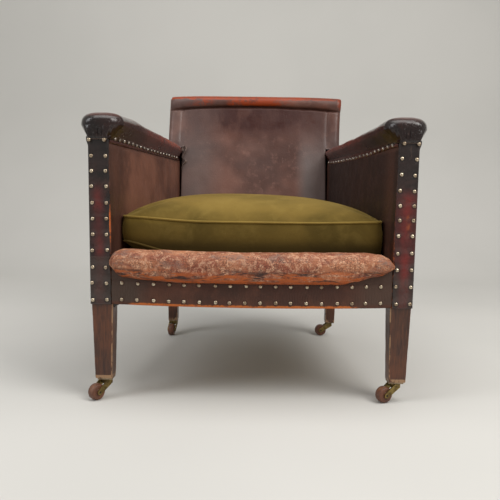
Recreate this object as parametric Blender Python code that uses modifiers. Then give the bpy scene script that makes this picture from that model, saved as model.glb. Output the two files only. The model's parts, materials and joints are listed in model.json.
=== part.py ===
"""Worn leather club chair on four swivelling brass casters.

Metres, +Z up. The chair faces -Y, the floor is z = 0 and the origin is on the floor under the middle of the chair.
Left is -X and right is +X, as seen from the front. Heights are worked out upwards from the casters. Depths are
written from the front plane of the leather on the arm posts, and the chair_origin empty carries them to the origin.

The two sides are drawn parallel to Y and then laid back by place_on_side, because the chair narrows to the rear.
"""

import math

import bmesh
import bpy
from mathutils import Matrix, Vector

CHAIR_NAME = "worn_club_chair"

# Clearance between pieces that touch
GAP = 0.0003

# Casters
WHEEL_DIAMETER = 0.035
WHEEL_WIDTH = 0.018
WHEEL_TREAD = 0.008
WHEEL_EDGE_DROP = 0.0015
WHEEL_SIDES = 20
AXLE_DIAMETER = 0.005
AXLE_PLAY = 0.0004
WHEEL_TO_HORN = 0.0008
WHEEL_TO_HUB = 0.0010
WHEEL_TO_PLATE = 0.0065
CHEEK_THICKNESS = 0.0025
CHEEK_BOSS_RADIUS = 0.0058
HUB_RADIUS = 0.0085
HUB_HEIGHT = 0.0105
HUB_INSET_SHARE = 0.12
SADDLE_SHARE = 0.75
CHEEK_FRONT_SHARE = 0.9
PIN_RADIUS = 0.004
PIN_PLAY = 0.0005
RIVET_RADIUS = 0.0056
RIVET_HEIGHT = 0.002
PLATE_THICKNESS = 0.004
PLATE_INSET = 0.0004
HEADING_DEG = {"front_left": -127.0, "front_right": -155.0, "rear_left": -95.0, "rear_right": 180.0}

# Timber frame
LEG_LENGTH = 0.1595
LEG_SHOULDER = 0.0002
LEG_WIDTH = 0.042
LEG_DEPTH = 0.0455
LEG_OUTER_TAPER = 0.006
LEG_INNER_TAPER = 0.004
LEG_FACE_TAPER = 0.004
LEG_ARRIS = 0.0016
LEG_SET_BACK = 0.0005
HALF_WIDTH_AT_POST = 0.3337
POST_FLARE = 0.0045
REAR_LEG_WIDTH = 0.031
REAR_LEG_DEPTH = 0.040
REAR_LEG_TAPER = 0.003
REAR_LEG_FRONT = 0.612
STILE_TOP_DEPTH = 0.024
BACK_RAKE_DEG = 12.0
ARM_TAPER = 0.112
SEAT_RAIL_HEIGHT = 0.055
SEAT_RAIL_LIFT = 0.002
SIDE_RAIL_THICKNESS = 0.0235
FRONT_RAIL_THICKNESS = 0.024
FRONT_BOW = 0.025
BACK_RAIL_THICKNESS = 0.024
BACK_RAIL_SET_IN = 0.008
ARM_RISE = 0.333
ARM_RAIL_HEIGHT = 0.035
TOP_RAIL_HEIGHT = 0.036
TOP_RAIL_THICKNESS = 0.020
LOWER_RAIL_HEIGHT = 0.032
LOWER_RAIL_RISE = 0.068
BACK_HEIGHT_OVER_RAIL = 0.4765

# Leather and nails
LEATHER = 0.0027
BORDER_HEIGHT = 0.0505
FACING_OVERLAP = 0.011
NAIL_RADIUS = 0.0047
NAIL_HEIGHT = 0.003
NAIL_SIDES = 8
NAIL_SINK = 0.0003
NAIL_ROWS = 11
NAIL_COLUMNS_BETWEEN_POSTS = 18
NAIL_EDGE_INSET = 0.0032
NAIL_COLUMN_SPACING = 0.030
NAIL_PITCH = 0.0328
NAIL_BOTTOM_INSET = 0.0087
BORDER_ROW_SPACING = 0.0365

# Springing
WEB_WIDTH = 0.055
WEB_THICKNESS = 0.002
WEB_END_INSET = 0.006
SPRING_SPACING_X = 0.152
SPRING_SPACING_Y = 0.170
SPRING_FIRST_Y = 0.132
SPRING_ROWS = 3
SPRING_WIRE = 0.0036
SPRING_END_RADIUS = 0.034
SPRING_WAIST_RADIUS = 0.022
SPRING_TURNS = 4
SPRING_POINTS_PER_TURN = 7
HESSIAN_THICKNESS = 0.002
HESSIAN_RISE = 0.0245
HESSIAN_EDGE_Y = 0.012
HESSIAN_SHOULDER = 0.040

# Stuffed parts
DECK_THICKNESS = 0.0165
DECK_SIDE_CLEARANCE = 0.004
LIP_REACH = 0.0205
LIP_BACK_INSET = 0.002
LIP_HEIGHT = 0.0695
LIP_END_CLEARANCE = 0.0022
LIP_END_SHARE = 0.14
LIP_END_HEIGHT_SHARE = 0.62
LIP_END_DEPTH_SHARE = 0.55
CUSHION_FRONT = 0.050
CUSHION_DEPTH = 0.508
CUSHION_SIDE_CLEARANCE_FRONT = 0.0078
CUSHION_SIDE_CLEARANCE_REAR = 0.006
CUSHION_EDGE = 0.073
CUSHION_CROWN = 0.058
CUSHION_SIDE_BULGE = 0.006
CUSHION_CROWN_FLATNESS = 4.5
CUSHION_CROWN_FALL = 0.6
INNER_ARM_PADDING = 0.0135
INNER_ARM_ROW_SHARES = (0.04, 0.08, 0.2, 0.4, 0.6, 0.8, 0.92)
ARM_ROLL_FRONT_HALF_WIDTH = 0.0415
ARM_ROLL_REAR_HALF_WIDTH = 0.030
ARM_ROLL_FRONT_HEIGHT = 0.0597
ARM_ROLL_REAR_HEIGHT = 0.0387
ARM_ROLL_FRONT_SET_IN = 0.0214
ARM_ROLL_REAR_SET_IN = 0.0124
ARM_ROLL_WAIST_SHARE = 0.645
ARM_ROLL_UNDERCUT = 1.22
ARM_ROLL_SQUARENESS = 0.85
ARM_ROLL_PLEATS = 18
ARM_ROLL_PLEAT_DEPTH = 0.0016
ARM_ROLL_FRONT_BULGE = 0.008
INNER_ARM_SWELL = 0.003
BACK_PAD_THICKNESS = 0.043
BACK_PAD_CROWN = 0.006
BACK_ROLL_WIDTH = 0.040
BACK_ROLL_HEIGHT = 0.007
BACK_TOP_PADDING = 0.0065
BACK_SIDE_PADDING = 0.0040
BACK_PAD_ARM_CLEARANCE = 0.0025
BACK_EDGE_ROUNDING = 0.008
BACK_EDGE_DROP = 0.010
BACK_CREASE_WIDTH = 0.002
BACK_CREASE_DEPTH = 0.003
BACK_ROLL_LEAD = 0.012

# Worked out from the sizes above
WHEEL_RADIUS = WHEEL_DIAMETER / 2
AXLE_Z = WHEEL_RADIUS
CASTER_TRAIL = WHEEL_RADIUS + HUB_RADIUS + WHEEL_TO_HUB
CASTER_HEIGHT = WHEEL_DIAMETER + WHEEL_TO_PLATE + PLATE_THICKNESS
PLATE_UNDERSIDE = CASTER_HEIGHT - PLATE_THICKNESS
HUB_TOP = PLATE_UNDERSIDE - GAP - AXLE_Z
HUB_BOTTOM = HUB_TOP - HUB_HEIGHT
COVER_BOTTOM = CASTER_HEIGHT + LEG_LENGTH + LEG_SHOULDER + GAP
RAIL_BOTTOM = COVER_BOTTOM - GAP + SEAT_RAIL_LIFT
RAIL_TOP = RAIL_BOTTOM + SEAT_RAIL_HEIGHT
ARM_RAIL_TOP = RAIL_BOTTOM + ARM_RISE
STILE_TOP = RAIL_TOP + BACK_HEIGHT_OVER_RAIL
RAKE_SLOPE = math.tan(math.radians(BACK_RAKE_DEG))
POST_INNER = HALF_WIDTH_AT_POST - LEG_WIDTH + LEATHER + GAP
POST_OUTER = HALF_WIDTH_AT_POST - LEATHER - GAP
POST_FRONT = LEATHER + GAP
SIDE_RAIL_INNER = POST_OUTER - SIDE_RAIL_THICKNESS
STILE_INNER = POST_OUTER - REAR_LEG_WIDTH
BORDER_TOP = COVER_BOTTOM + BORDER_HEIGHT
WEB_TOP = RAIL_BOTTOM - GAP
HESSIAN_EDGE_TOP = RAIL_TOP + GAP + HESSIAN_THICKNESS
HESSIAN_TOP = HESSIAN_EDGE_TOP + HESSIAN_RISE
DECK_TOP = HESSIAN_TOP + GAP + DECK_THICKNESS
LIP_BACK = LEG_DEPTH + LEG_SET_BACK - LIP_BACK_INSET
LIP_DEPTH = LIP_REACH + LIP_BACK
BORDER_HALF = HALF_WIDTH_AT_POST - LEG_WIDTH - GAP
BACK_PAD_TOP = STILE_TOP + BACK_TOP_PADDING
ARM_ROLL_BOTTOM = ARM_RAIL_TOP + GAP
BACK_PAD_SHELF = ARM_ROLL_BOTTOM + ARM_ROLL_REAR_HEIGHT + 10 * GAP

SIDES = {"left": -1, "right": 1}


def side_shift(y):
    """How far the sides have moved inwards at depth y; behind the rear leg's front face they run straight."""
    return ARM_TAPER * min(y, REAR_LEG_FRONT)


def post_flare(z):
    """The arm posts lean outwards a little between the seat rail and the top of the arm rail."""
    share = (z - COVER_BOTTOM) / (ARM_RAIL_TOP - COVER_BOTTOM)
    return POST_FLARE * min(max(share, 0.0), 1.0)


def inner_face(x, y, z):
    """World distance from the middle of a plane drawn at x on a side, for pieces that fit between the sides."""
    return x + post_flare(z) - side_shift(y)


def front_bow(x):
    """Forward bow of the seat front at a distance x from the middle; the posts themselves stand square."""
    share = min(abs(x) / BORDER_HALF, 1.0)
    return FRONT_BOW * (1.0 - share * share)


def stile_front(z):
    return REAR_LEG_FRONT + RAKE_SLOPE * max(0.0, z - RAIL_TOP)


def stile_depth(z):
    share = min(max((z - RAIL_TOP) / (STILE_TOP - RAIL_TOP), 0.0), 1.0)
    return REAR_LEG_DEPTH + (STILE_TOP_DEPTH - REAR_LEG_DEPTH) * share


def stile_rear(z):
    return stile_front(z) + stile_depth(z)


def smooth(share):
    t = min(max(share, 0.0), 1.0)
    return t * t * (3.0 - 2.0 * t)


def mix(a, b, share):
    return a + (b - a) * share


FRONT_REACH = FRONT_BOW + LIP_REACH
REAR_REACH = stile_rear(STILE_TOP) + GAP + LEATHER
ORIGIN_DEPTH = (REAR_REACH - FRONT_REACH) / 2


def clear_scene():
    for obj in list(bpy.data.objects):
        bpy.data.objects.remove(obj, do_unlink=True)


def make_material(name, colour, roughness, metallic=0.0):
    material = bpy.data.materials.new(name)
    material.use_nodes = True
    shader = material.node_tree.nodes["Principled BSDF"]
    shader.inputs["Base Color"].default_value = (*colour, 1.0)
    shader.inputs["Roughness"].default_value = roughness
    shader.inputs["Metallic"].default_value = metallic
    return material


clear_scene()
chair_collection = bpy.data.collections.new(CHAIR_NAME)
bpy.context.scene.collection.children.link(chair_collection)
chair_origin = bpy.data.objects.new("chair_origin", None)
chair_origin.location = (0.0, -ORIGIN_DEPTH, 0.0)
chair_collection.objects.link(chair_origin)

MAHOGANY = ("mahogany", (0.075, 0.026, 0.014), 0.42)
BEECH = ("beech", (0.36, 0.22, 0.12), 0.75)
POST_LEATHER = ("post_leather", (0.022, 0.010, 0.010), 0.38)
BORDER_LEATHER = ("border_leather", (0.060, 0.030, 0.022), 0.50)
LIP_LEATHER = ("lip_leather", (0.34, 0.17, 0.12), 0.62)
BACK_LEATHER = ("back_leather", (0.15, 0.085, 0.075), 0.50)
ARM_LEATHER = ("arm_leather", (0.085, 0.035, 0.025), 0.48)
VELVET = ("velvet", (0.22, 0.15, 0.045), 0.85)
JUTE = ("jute", (0.42, 0.32, 0.19), 0.90)
DECK_CLOTH = ("deck_cloth", (0.30, 0.25, 0.18), 0.92)
SPRING_STEEL = ("spring_steel", (0.23, 0.18, 0.15), 0.45, 0.9)
IRON = ("iron", (0.10, 0.085, 0.075), 0.55, 0.8)
BRASS = ("brass", (0.62, 0.43, 0.18), 0.35, 1.0)
WHEEL_WOOD = ("wheel_wood", (0.20, 0.065, 0.035), 0.50)


def add_piece(name, mesh, finish, parent=chair_origin, smooth_angle=None):
    """Makes one named piece with a material of its own; a smooth_angle in degrees shades round faces smooth."""
    piece = bpy.data.objects.new(name, mesh)
    chair_collection.objects.link(piece)
    piece.parent = parent
    mesh.materials.clear()
    mesh.materials.append(make_material(name + "_" + finish[0], *finish[1:]))
    if smooth_angle is not None:
        mesh.shade_smooth()
        mesh.set_sharp_from_angle(angle=math.radians(smooth_angle))
    return piece


def face_outwards(bm):
    bmesh.ops.recalc_face_normals(bm, faces=bm.faces[:])
    if bm.calc_volume(signed=True) < 0:
        bmesh.ops.reverse_faces(bm, faces=bm.faces[:])


def to_mesh(name, bm):
    face_outwards(bm)
    mesh = bpy.data.meshes.new(name)
    bm.to_mesh(mesh)
    bm.free()
    return mesh


def reshape(bm, place):
    for vert in bm.verts:
        vert.co = place(vert.co.copy())
    return bm


def cut(bm, axis, positions):
    """Cuts new edge loops through the whole body at the given positions along one axis."""
    normal = Vector((0.0, 0.0, 0.0))
    normal[axis] = 1.0
    for position in positions:
        geometry = bm.verts[:] + bm.edges[:] + bm.faces[:]
        bmesh.ops.bisect_plane(bm, geom=geometry, dist=1e-7, plane_co=normal * position, plane_no=normal)


def block(low, high, arris=0.0, cuts_x=(), cuts_y=(), cuts_z=()):
    """A cube primitive between two corners, with its upright edges bevelled by arris and then cut into loops."""
    bm = bmesh.new()
    bmesh.ops.create_cube(bm, size=1.0)
    size = Vector(high) - Vector(low)
    centre = (Vector(high) + Vector(low)) / 2
    bmesh.ops.scale(bm, vec=size, verts=bm.verts[:])
    bmesh.ops.translate(bm, vec=centre, verts=bm.verts[:])
    if arris:
        upright = [e for e in bm.edges if abs((e.verts[0].co - e.verts[1].co).normalized().z) > 0.9]
        bmesh.ops.bevel(bm, geom=upright, offset=arris, segments=2, profile=0.5, affect="EDGES")
    cut(bm, 0, cuts_x)
    cut(bm, 1, cuts_y)
    cut(bm, 2, cuts_z)
    return bm


def drum(radius, low, high, sides):
    """An upright cylinder primitive centred on the local Z axis."""
    bm = bmesh.new()
    lift = Matrix.Translation((0.0, 0.0, (low + high) / 2))
    bmesh.ops.create_cone(
        bm, cap_ends=True, segments=sides, radius1=radius, radius2=radius, depth=high - low, matrix=lift
    )
    return bm


def ringed_body(ring_count, segments, place):
    """A UV sphere whose rings are laid out by place(ring, turn); rings 0 and ring_count + 1 are its two poles."""
    bm = bmesh.new()
    bmesh.ops.create_uvsphere(bm, u_segments=segments, v_segments=ring_count + 1, radius=1.0)
    step = math.pi / (ring_count + 1)

    def lay_out(co):
        ring = round(math.acos(min(max(co.z, -1.0), 1.0)) / step)
        turn = math.atan2(co.y, co.x)
        return place(ring, turn)

    return reshape(bm, lay_out)


def spread(first, last, count):
    return [mix(first, last, i / (count - 1)) for i in range(count)]


def place_on_side(co, sign):
    return Vector((sign * inner_face(co.x, co.y, co.z), co.y, co.z))


def side_mesh(name, bm, sign):
    reshape(bm, lambda co: place_on_side(co, sign))
    return to_mesh(name, bm)


def helper_object(name, mesh):
    helper = bpy.data.objects.new(name, mesh)
    chair_collection.objects.link(helper)
    return helper


def combined_mesh(name, base_mesh, steps):
    """Unions or cuts base_mesh with other meshes in turn by exact Booleans, and returns the result as one mesh."""
    base = helper_object(name + "_base", base_mesh)
    others = []
    for index, (operation, mesh) in enumerate(steps):
        other = helper_object(name + "_tool", mesh)
        others.append(other)
        modifier = base.modifiers.new("boolean_" + str(index), "BOOLEAN")
        modifier.operation = operation
        modifier.solver = "EXACT"
        modifier.object = other
    bpy.context.view_layer.update()
    evaluated = base.evaluated_get(bpy.context.evaluated_depsgraph_get())
    result = bpy.data.meshes.new_from_object(evaluated)
    result.name = name
    for helper in [base] + others:
        bpy.data.objects.remove(helper, do_unlink=True)
    return result


def flat_outline_mesh(name, points, thickness):
    """A flat outline filled as a 2D curve and extruded to its thickness, standing on local Z."""
    curve = bpy.data.curves.new(name, "CURVE")
    curve.dimensions = "2D"
    curve.fill_mode = "BOTH"
    curve.extrude = thickness / 2
    spline = curve.splines.new("POLY")
    spline.points.add(len(points) - 1)
    for point, (x, y) in zip(spline.points, points):
        point.co = (x, y, 0.0, 1.0)
    spline.use_cyclic_u = True
    outline = helper_object(name, curve)
    bpy.context.view_layer.update()
    mesh = bpy.data.meshes.new_from_object(outline.evaluated_get(bpy.context.evaluated_depsgraph_get()))
    bpy.data.objects.remove(outline, do_unlink=True)
    bm = bmesh.new()
    bm.from_mesh(mesh)
    bmesh.ops.remove_doubles(bm, verts=bm.verts[:], dist=1e-6)
    face_outwards(bm)
    bm.to_mesh(mesh)
    bm.free()
    return mesh


def turned_mesh(name, profile, sides):
    """A closed profile of (radius, height) points turned about local Z with a Screw modifier."""
    bm = bmesh.new()
    verts = [bm.verts.new((radius, 0.0, height)) for radius, height in profile]
    for a, b in zip(verts, verts[1:] + verts[:1]):
        bm.edges.new((a, b))
    outline_mesh = bpy.data.meshes.new(name)
    bm.to_mesh(outline_mesh)
    bm.free()
    outline = helper_object(name, outline_mesh)
    screw = outline.modifiers.new("turn", "SCREW")
    screw.steps = sides
    screw.render_steps = sides
    screw.use_merge_vertices = True
    screw.merge_threshold = 0.00001
    bpy.context.view_layer.update()
    mesh = bpy.data.meshes.new_from_object(outline.evaluated_get(bpy.context.evaluated_depsgraph_get()))
    bpy.data.objects.remove(outline, do_unlink=True)
    bm = bmesh.new()
    bm.from_mesh(mesh)
    face_outwards(bm)
    bm.to_mesh(mesh)
    bm.free()
    return mesh


def build_front_leg(side, sign):
    """Leg and arm post in one timber: a tapered square leg, and above a shoulder the post that the leather covers."""
    shoulder_low = CASTER_HEIGHT + LEG_LENGTH
    shoulder_high = shoulder_low + LEG_SHOULDER
    leg_inner = HALF_WIDTH_AT_POST - LEG_WIDTH
    back = LEG_DEPTH + LEG_SET_BACK
    bm = block(
        (0.0, 0.0, CASTER_HEIGHT),
        (LEG_WIDTH, LEG_DEPTH, ARM_RAIL_TOP),
        LEG_ARRIS,
        cuts_z=(shoulder_low, shoulder_high),
    )

    def place(co):
        across = co.x / LEG_WIDTH
        deep = co.y / LEG_DEPTH
        if co.z > shoulder_low + LEG_SHOULDER / 2:
            x = mix(POST_INNER, POST_OUTER, across)
            y = mix(POST_FRONT, back, deep)
        else:
            slim = 1.0 - (co.z - CASTER_HEIGHT) / LEG_LENGTH
            x = mix(leg_inner + LEG_INNER_TAPER * slim, HALF_WIDTH_AT_POST - LEG_OUTER_TAPER * slim, across)
            y = mix(LEG_SET_BACK + LEG_FACE_TAPER * slim, back - LEG_FACE_TAPER * slim, deep)
        return Vector((x, y, co.z))

    mesh = side_mesh("front_leg_" + side, reshape(bm, place), sign)
    add_piece("front_leg_" + side, mesh, MAHOGANY, smooth_angle=50)


def build_rear_leg(side, sign):
    """Leg and back stile in one timber, upright to the seat rail and raked above it."""
    bm = block(
        (0.0, 0.0, CASTER_HEIGHT),
        (REAR_LEG_WIDTH, REAR_LEG_DEPTH, STILE_TOP),
        LEG_ARRIS,
        cuts_z=(RAIL_BOTTOM, RAIL_TOP, ARM_RAIL_TOP),
    )

    def place(co):
        slim = max(0.0, 1.0 - (co.z - CASTER_HEIGHT) / LEG_LENGTH)
        outer = POST_OUTER - REAR_LEG_TAPER * slim
        depth = stile_depth(co.z) - LEG_FACE_TAPER * slim
        x = mix(STILE_INNER, outer, co.x / REAR_LEG_WIDTH)
        y = stile_front(co.z) + depth * co.y / REAR_LEG_DEPTH
        return Vector((sign * (x + post_flare(co.z) - side_shift(REAR_LEG_FRONT)), y, co.z))

    mesh = to_mesh("rear_leg_" + side, reshape(bm, place))
    add_piece("rear_leg_" + side, mesh, MAHOGANY, smooth_angle=50)


def build_front_rail():
    """Bowed seat rail between the two posts."""
    end = BORDER_HALF + LEATHER
    bm = block(
        (-end, POST_FRONT, RAIL_BOTTOM),
        (end, POST_FRONT + FRONT_RAIL_THICKNESS, RAIL_TOP),
        cuts_x=spread(-BORDER_HALF, BORDER_HALF, 15),
    )

    def place(co):
        x = co.x
        if abs(x) > BORDER_HALF + GAP:
            x = math.copysign(inner_face(POST_INNER, co.y, co.z) - GAP, x)
        return Vector((x, co.y - front_bow(x), co.z))

    add_piece("front_rail", to_mesh("front_rail", reshape(bm, place)), BEECH)


def build_side_rails(side, sign):
    back = LEG_DEPTH + LEG_SET_BACK + GAP
    seat = block((SIDE_RAIL_INNER, back, RAIL_BOTTOM), (POST_OUTER, REAR_LEG_FRONT - GAP, RAIL_TOP))
    add_piece("side_rail_" + side, side_mesh("side_rail_" + side, seat, sign), BEECH)

    def to_stile(co):
        share = (co.y - back) / (REAR_LEG_FRONT - back)
        y = co.y if share < 1.0 else stile_front(co.z) - GAP
        return Vector((co.x, y, co.z))

    arm = block(
        (SIDE_RAIL_INNER, back, ARM_RAIL_TOP - ARM_RAIL_HEIGHT),
        (POST_OUTER, REAR_LEG_FRONT + GAP, ARM_RAIL_TOP),
        cuts_y=(REAR_LEG_FRONT - GAP,),
    )
    reshape(arm, to_stile)
    add_piece("arm_rail_" + side, side_mesh("arm_rail_" + side, arm, sign), BEECH)


def build_back_rails():
    """Rails between the two stiles: at the seat, above the seat deck and along the top."""
    rails = {
        "back_seat_rail": (RAIL_BOTTOM, RAIL_TOP, BACK_RAIL_SET_IN, BACK_RAIL_THICKNESS),
        "back_lower_rail": (RAIL_TOP + LOWER_RAIL_RISE, RAIL_TOP + LOWER_RAIL_RISE + LOWER_RAIL_HEIGHT, 0.0,
                            TOP_RAIL_THICKNESS),
        "back_top_rail": (STILE_TOP - TOP_RAIL_HEIGHT, STILE_TOP, 0.0, TOP_RAIL_THICKNESS),
    }
    for name, (low, high, set_in, thickness) in rails.items():
        bm = block((-1.0, set_in, low), (1.0, set_in + thickness, high))

        def place(co):
            x = co.x * (inner_face(STILE_INNER, REAR_LEG_FRONT, co.z) - GAP)
            return Vector((x, co.y + stile_front(co.z), co.z))

        add_piece(name, to_mesh(name, reshape(bm, place)), BEECH)


def build_plate(corner, pivot, width):
    """Square plate under the leg, with the pivot pin and its riveted end in one piece."""
    half = width / 2 - PLATE_INSET
    plate_low = PLATE_UNDERSIDE - AXLE_Z
    plate_high = CASTER_HEIGHT - GAP - AXLE_Z
    plate = to_mesh("plate", block((-half, -half, plate_low), (half, half, plate_high)))
    pin_low = HUB_BOTTOM - GAP - RIVET_HEIGHT
    pin = to_mesh("pin", drum(PIN_RADIUS, pin_low + RIVET_HEIGHT / 2, HUB_TOP + PLATE_THICKNESS / 2, 12))
    rivet = to_mesh("rivet", drum(RIVET_RADIUS, pin_low, HUB_BOTTOM - GAP, 12))
    mesh = combined_mesh("caster_plate_" + corner, plate, [("UNION", pin), ("UNION", rivet)])
    piece = add_piece("caster_plate_" + corner, mesh, IRON)
    piece.location = (pivot[0], pivot[1], AXLE_Z)


def cheek_outline():
    """Side view of a horn cheek, from the hub down to a round boss about the axle."""
    arc = []
    for step in range(6):
        angle = math.radians(mix(-115.0, 45.0, step / 5))
        arc.append((CASTER_TRAIL + CHEEK_BOSS_RADIUS * math.cos(angle), CHEEK_BOSS_RADIUS * math.sin(angle)))
    inset = HUB_HEIGHT * HUB_INSET_SHARE
    rear = -HUB_RADIUS * SADDLE_SHARE
    front_top = (HUB_RADIUS * CHEEK_FRONT_SHARE, HUB_TOP - inset)
    return arc + [front_top, (rear, HUB_TOP - inset), (rear, HUB_BOTTOM + inset)]


def horn_mesh():
    """Brass horn: a hub about the pivot, a saddle across it and two cheeks that carry the axle."""
    inner = WHEEL_WIDTH / 2 + WHEEL_TO_HORN
    outer = inner + CHEEK_THICKNESS
    hub = to_mesh("hub", drum(HUB_RADIUS, HUB_BOTTOM, HUB_TOP, 14))
    inset = HUB_HEIGHT * HUB_INSET_SHARE * 1.5
    reach = HUB_RADIUS * SADDLE_SHARE
    saddle = to_mesh(
        "saddle",
        block(
            (-reach, -outer + CHEEK_THICKNESS / 2, HUB_BOTTOM + inset),
            (reach, outer - CHEEK_THICKNESS / 2, HUB_TOP - inset),
        ),
    )
    steps = [("UNION", saddle)]
    for sign in (-1, 1):
        cheek = flat_outline_mesh("cheek", cheek_outline(), CHEEK_THICKNESS)
        cheek.transform(Matrix.Rotation(math.radians(90), 4, "X"))
        cheek.transform(Matrix.Translation((0.0, sign * (inner + CHEEK_THICKNESS / 2), 0.0)))
        steps.append(("UNION", cheek))
    bore = drum(PIN_RADIUS + PIN_PLAY, HUB_BOTTOM - HUB_HEIGHT, HUB_TOP + HUB_HEIGHT, 12)
    steps.append(("DIFFERENCE", to_mesh("bore", bore)))
    axle_bore = to_mesh("axle_bore", drum(AXLE_DIAMETER / 2 + GAP, -outer * 1.5, outer * 1.5, 12))
    axle_bore.transform(Matrix.Rotation(math.radians(90), 4, "X"))
    axle_bore.transform(Matrix.Translation((CASTER_TRAIL, 0.0, 0.0)))
    steps.append(("DIFFERENCE", axle_bore))
    return combined_mesh("caster_horn", hub, steps)


def wheel_mesh():
    """Barrel-shaped wheel about its local Y axis, with a bore that runs free on the axle."""
    bore = AXLE_DIAMETER / 2 + AXLE_PLAY
    edge = WHEEL_RADIUS - WHEEL_EDGE_DROP
    half = WHEEL_WIDTH / 2
    tread = WHEEL_TREAD / 2
    face_to_tread = 1.0 / math.cos(math.pi / WHEEL_SIDES)
    profile = [
        (bore, half),
        (edge, half),
        (WHEEL_RADIUS * face_to_tread, tread),
        (WHEEL_RADIUS * face_to_tread, -tread),
        (edge, -half),
        (bore, -half),
    ]
    mesh = turned_mesh("caster_wheel", profile, WHEEL_SIDES)
    mesh.transform(Matrix.Rotation(math.pi / WHEEL_SIDES, 4, "Z"))
    mesh.transform(Matrix.Rotation(math.radians(90), 4, "X"))
    return mesh


def build_casters():
    foot_inner = HALF_WIDTH_AT_POST - LEG_WIDTH + LEG_INNER_TAPER
    foot_outer = HALF_WIDTH_AT_POST - LEG_OUTER_TAPER
    front_y = LEG_SET_BACK + LEG_DEPTH / 2
    front_x = inner_face((foot_inner + foot_outer) / 2, front_y, CASTER_HEIGHT)
    rear_x = inner_face((STILE_INNER + POST_OUTER - REAR_LEG_TAPER) / 2, REAR_LEG_FRONT, CASTER_HEIGHT)
    rear_y = REAR_LEG_FRONT + (REAR_LEG_DEPTH - LEG_FACE_TAPER) / 2
    horn = horn_mesh()
    wheel = wheel_mesh()
    for end, x, y, width in (
        ("front", front_x, front_y, foot_outer - foot_inner),
        ("rear", rear_x, rear_y, REAR_LEG_WIDTH - REAR_LEG_TAPER),
    ):
        for side, sign in SIDES.items():
            corner = end + "_" + side
            build_plate(corner, (sign * x, y), width)
            horn_piece = add_piece("caster_horn_" + corner, horn.copy(), BRASS)
            horn_piece.location = (sign * x, y, AXLE_Z)
            horn_piece.rotation_euler.z = math.radians(HEADING_DEG[corner])
            length = WHEEL_WIDTH + 2 * (WHEEL_TO_HORN + CHEEK_THICKNESS)
            axle = to_mesh("caster_axle_" + corner, drum(AXLE_DIAMETER / 2, -length / 2, length / 2, 12))
            axle.transform(Matrix.Rotation(math.radians(90), 4, "X"))
            axle_piece = add_piece("caster_axle_" + corner, axle, IRON, horn_piece)
            axle_piece.location.x = CASTER_TRAIL
            wheel_piece = add_piece("caster_wheel_" + corner, wheel.copy(), WHEEL_WOOD, horn_piece)
            wheel_piece.location.x = CASTER_TRAIL


def spring_centres():
    """Middle of each spring, row by row from the front; each also marks where two webbing straps cross."""
    columns = [SPRING_SPACING_X * (i - (SPRING_ROWS - 1) / 2) for i in range(SPRING_ROWS)]
    rows = [SPRING_FIRST_Y + SPRING_SPACING_Y * j for j in range(SPRING_ROWS)]
    return columns, rows


def strap_mesh(name, crossings, first, last, over_first, along_x, middle):
    """One webbing strap that passes over and under the straps it crosses, tacked under the rails at both ends."""
    reach = WEB_WIDTH / 2 + WEB_THICKNESS
    cuts = []
    for crossing in crossings:
        cuts += [crossing - reach, crossing + reach]
    half = WEB_WIDTH / 2
    bm = block((first, -half, 0.0), (last, half, WEB_THICKNESS), cuts_x=cuts)
    drop = WEB_THICKNESS + GAP

    def place(co):
        z = co.z + WEB_TOP - WEB_THICKNESS
        for index, crossing in enumerate(crossings):
            under = (index % 2 == 0) != over_first
            if under and abs(co.x - crossing) < reach + GAP:
                z -= drop
        if along_x:
            return Vector((co.x, co.y + middle, z))
        return Vector((co.y + middle, co.x, z))

    return to_mesh(name, reshape(bm, place))


def build_webbing():
    columns, rows = spring_centres()
    for index, y in enumerate(rows):
        end = inner_face(POST_OUTER, y + WEB_WIDTH / 2, RAIL_BOTTOM) - WEB_END_INSET
        name = "webbing_across_" + str(index + 1)
        mesh = strap_mesh(name, columns, -end, end, index % 2 == 0, True, y)
        add_piece(name, mesh, JUTE)
    last = REAR_LEG_FRONT + BACK_RAIL_SET_IN + BACK_RAIL_THICKNESS - WEB_END_INSET
    for index, x in enumerate(columns):
        first = POST_FRONT - front_bow(abs(x) + WEB_WIDTH / 2) + WEB_END_INSET
        name = "webbing_along_" + str(index + 1)
        mesh = strap_mesh(name, rows, first, last, index % 2 == 1, False, x)
        add_piece(name, mesh, JUTE)


def build_springs():
    """Nine waisted coil springs standing where the straps cross."""
    wire = SPRING_WIRE / 2
    low = WEB_TOP + GAP + wire
    high = HESSIAN_TOP - HESSIAN_THICKNESS - GAP - wire
    count = SPRING_TURNS * SPRING_POINTS_PER_TURN
    columns, rows = spring_centres()
    number = 0
    for y in rows:
        for x in columns:
            number += 1
            name = "seat_spring_" + str(number)
            curve = bpy.data.curves.new(name, "CURVE")
            curve.dimensions = "3D"
            curve.bevel_depth = wire
            curve.bevel_resolution = 2
            curve.use_fill_caps = True
            spline = curve.splines.new("POLY")
            spline.points.add(count)
            for index, point in enumerate(spline.points):
                share = index / count
                angle = 2 * math.pi * SPRING_TURNS * share
                waist = math.sin(math.pi * share)
                radius = mix(SPRING_END_RADIUS, SPRING_WAIST_RADIUS, waist)
                rise = smooth((share - 0.125) / 0.75) * 0.4 + min(max((share - 0.1) / 0.8, 0.0), 1.0) * 0.6
                point.co = (x + radius * math.cos(angle), y + radius * math.sin(angle), mix(low, high, rise), 1.0)
            spring = bpy.data.objects.new(name, curve)
            chair_collection.objects.link(spring)
            spring.parent = chair_origin
            curve.materials.append(make_material(name + "_steel", *SPRING_STEEL[1:]))


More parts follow.
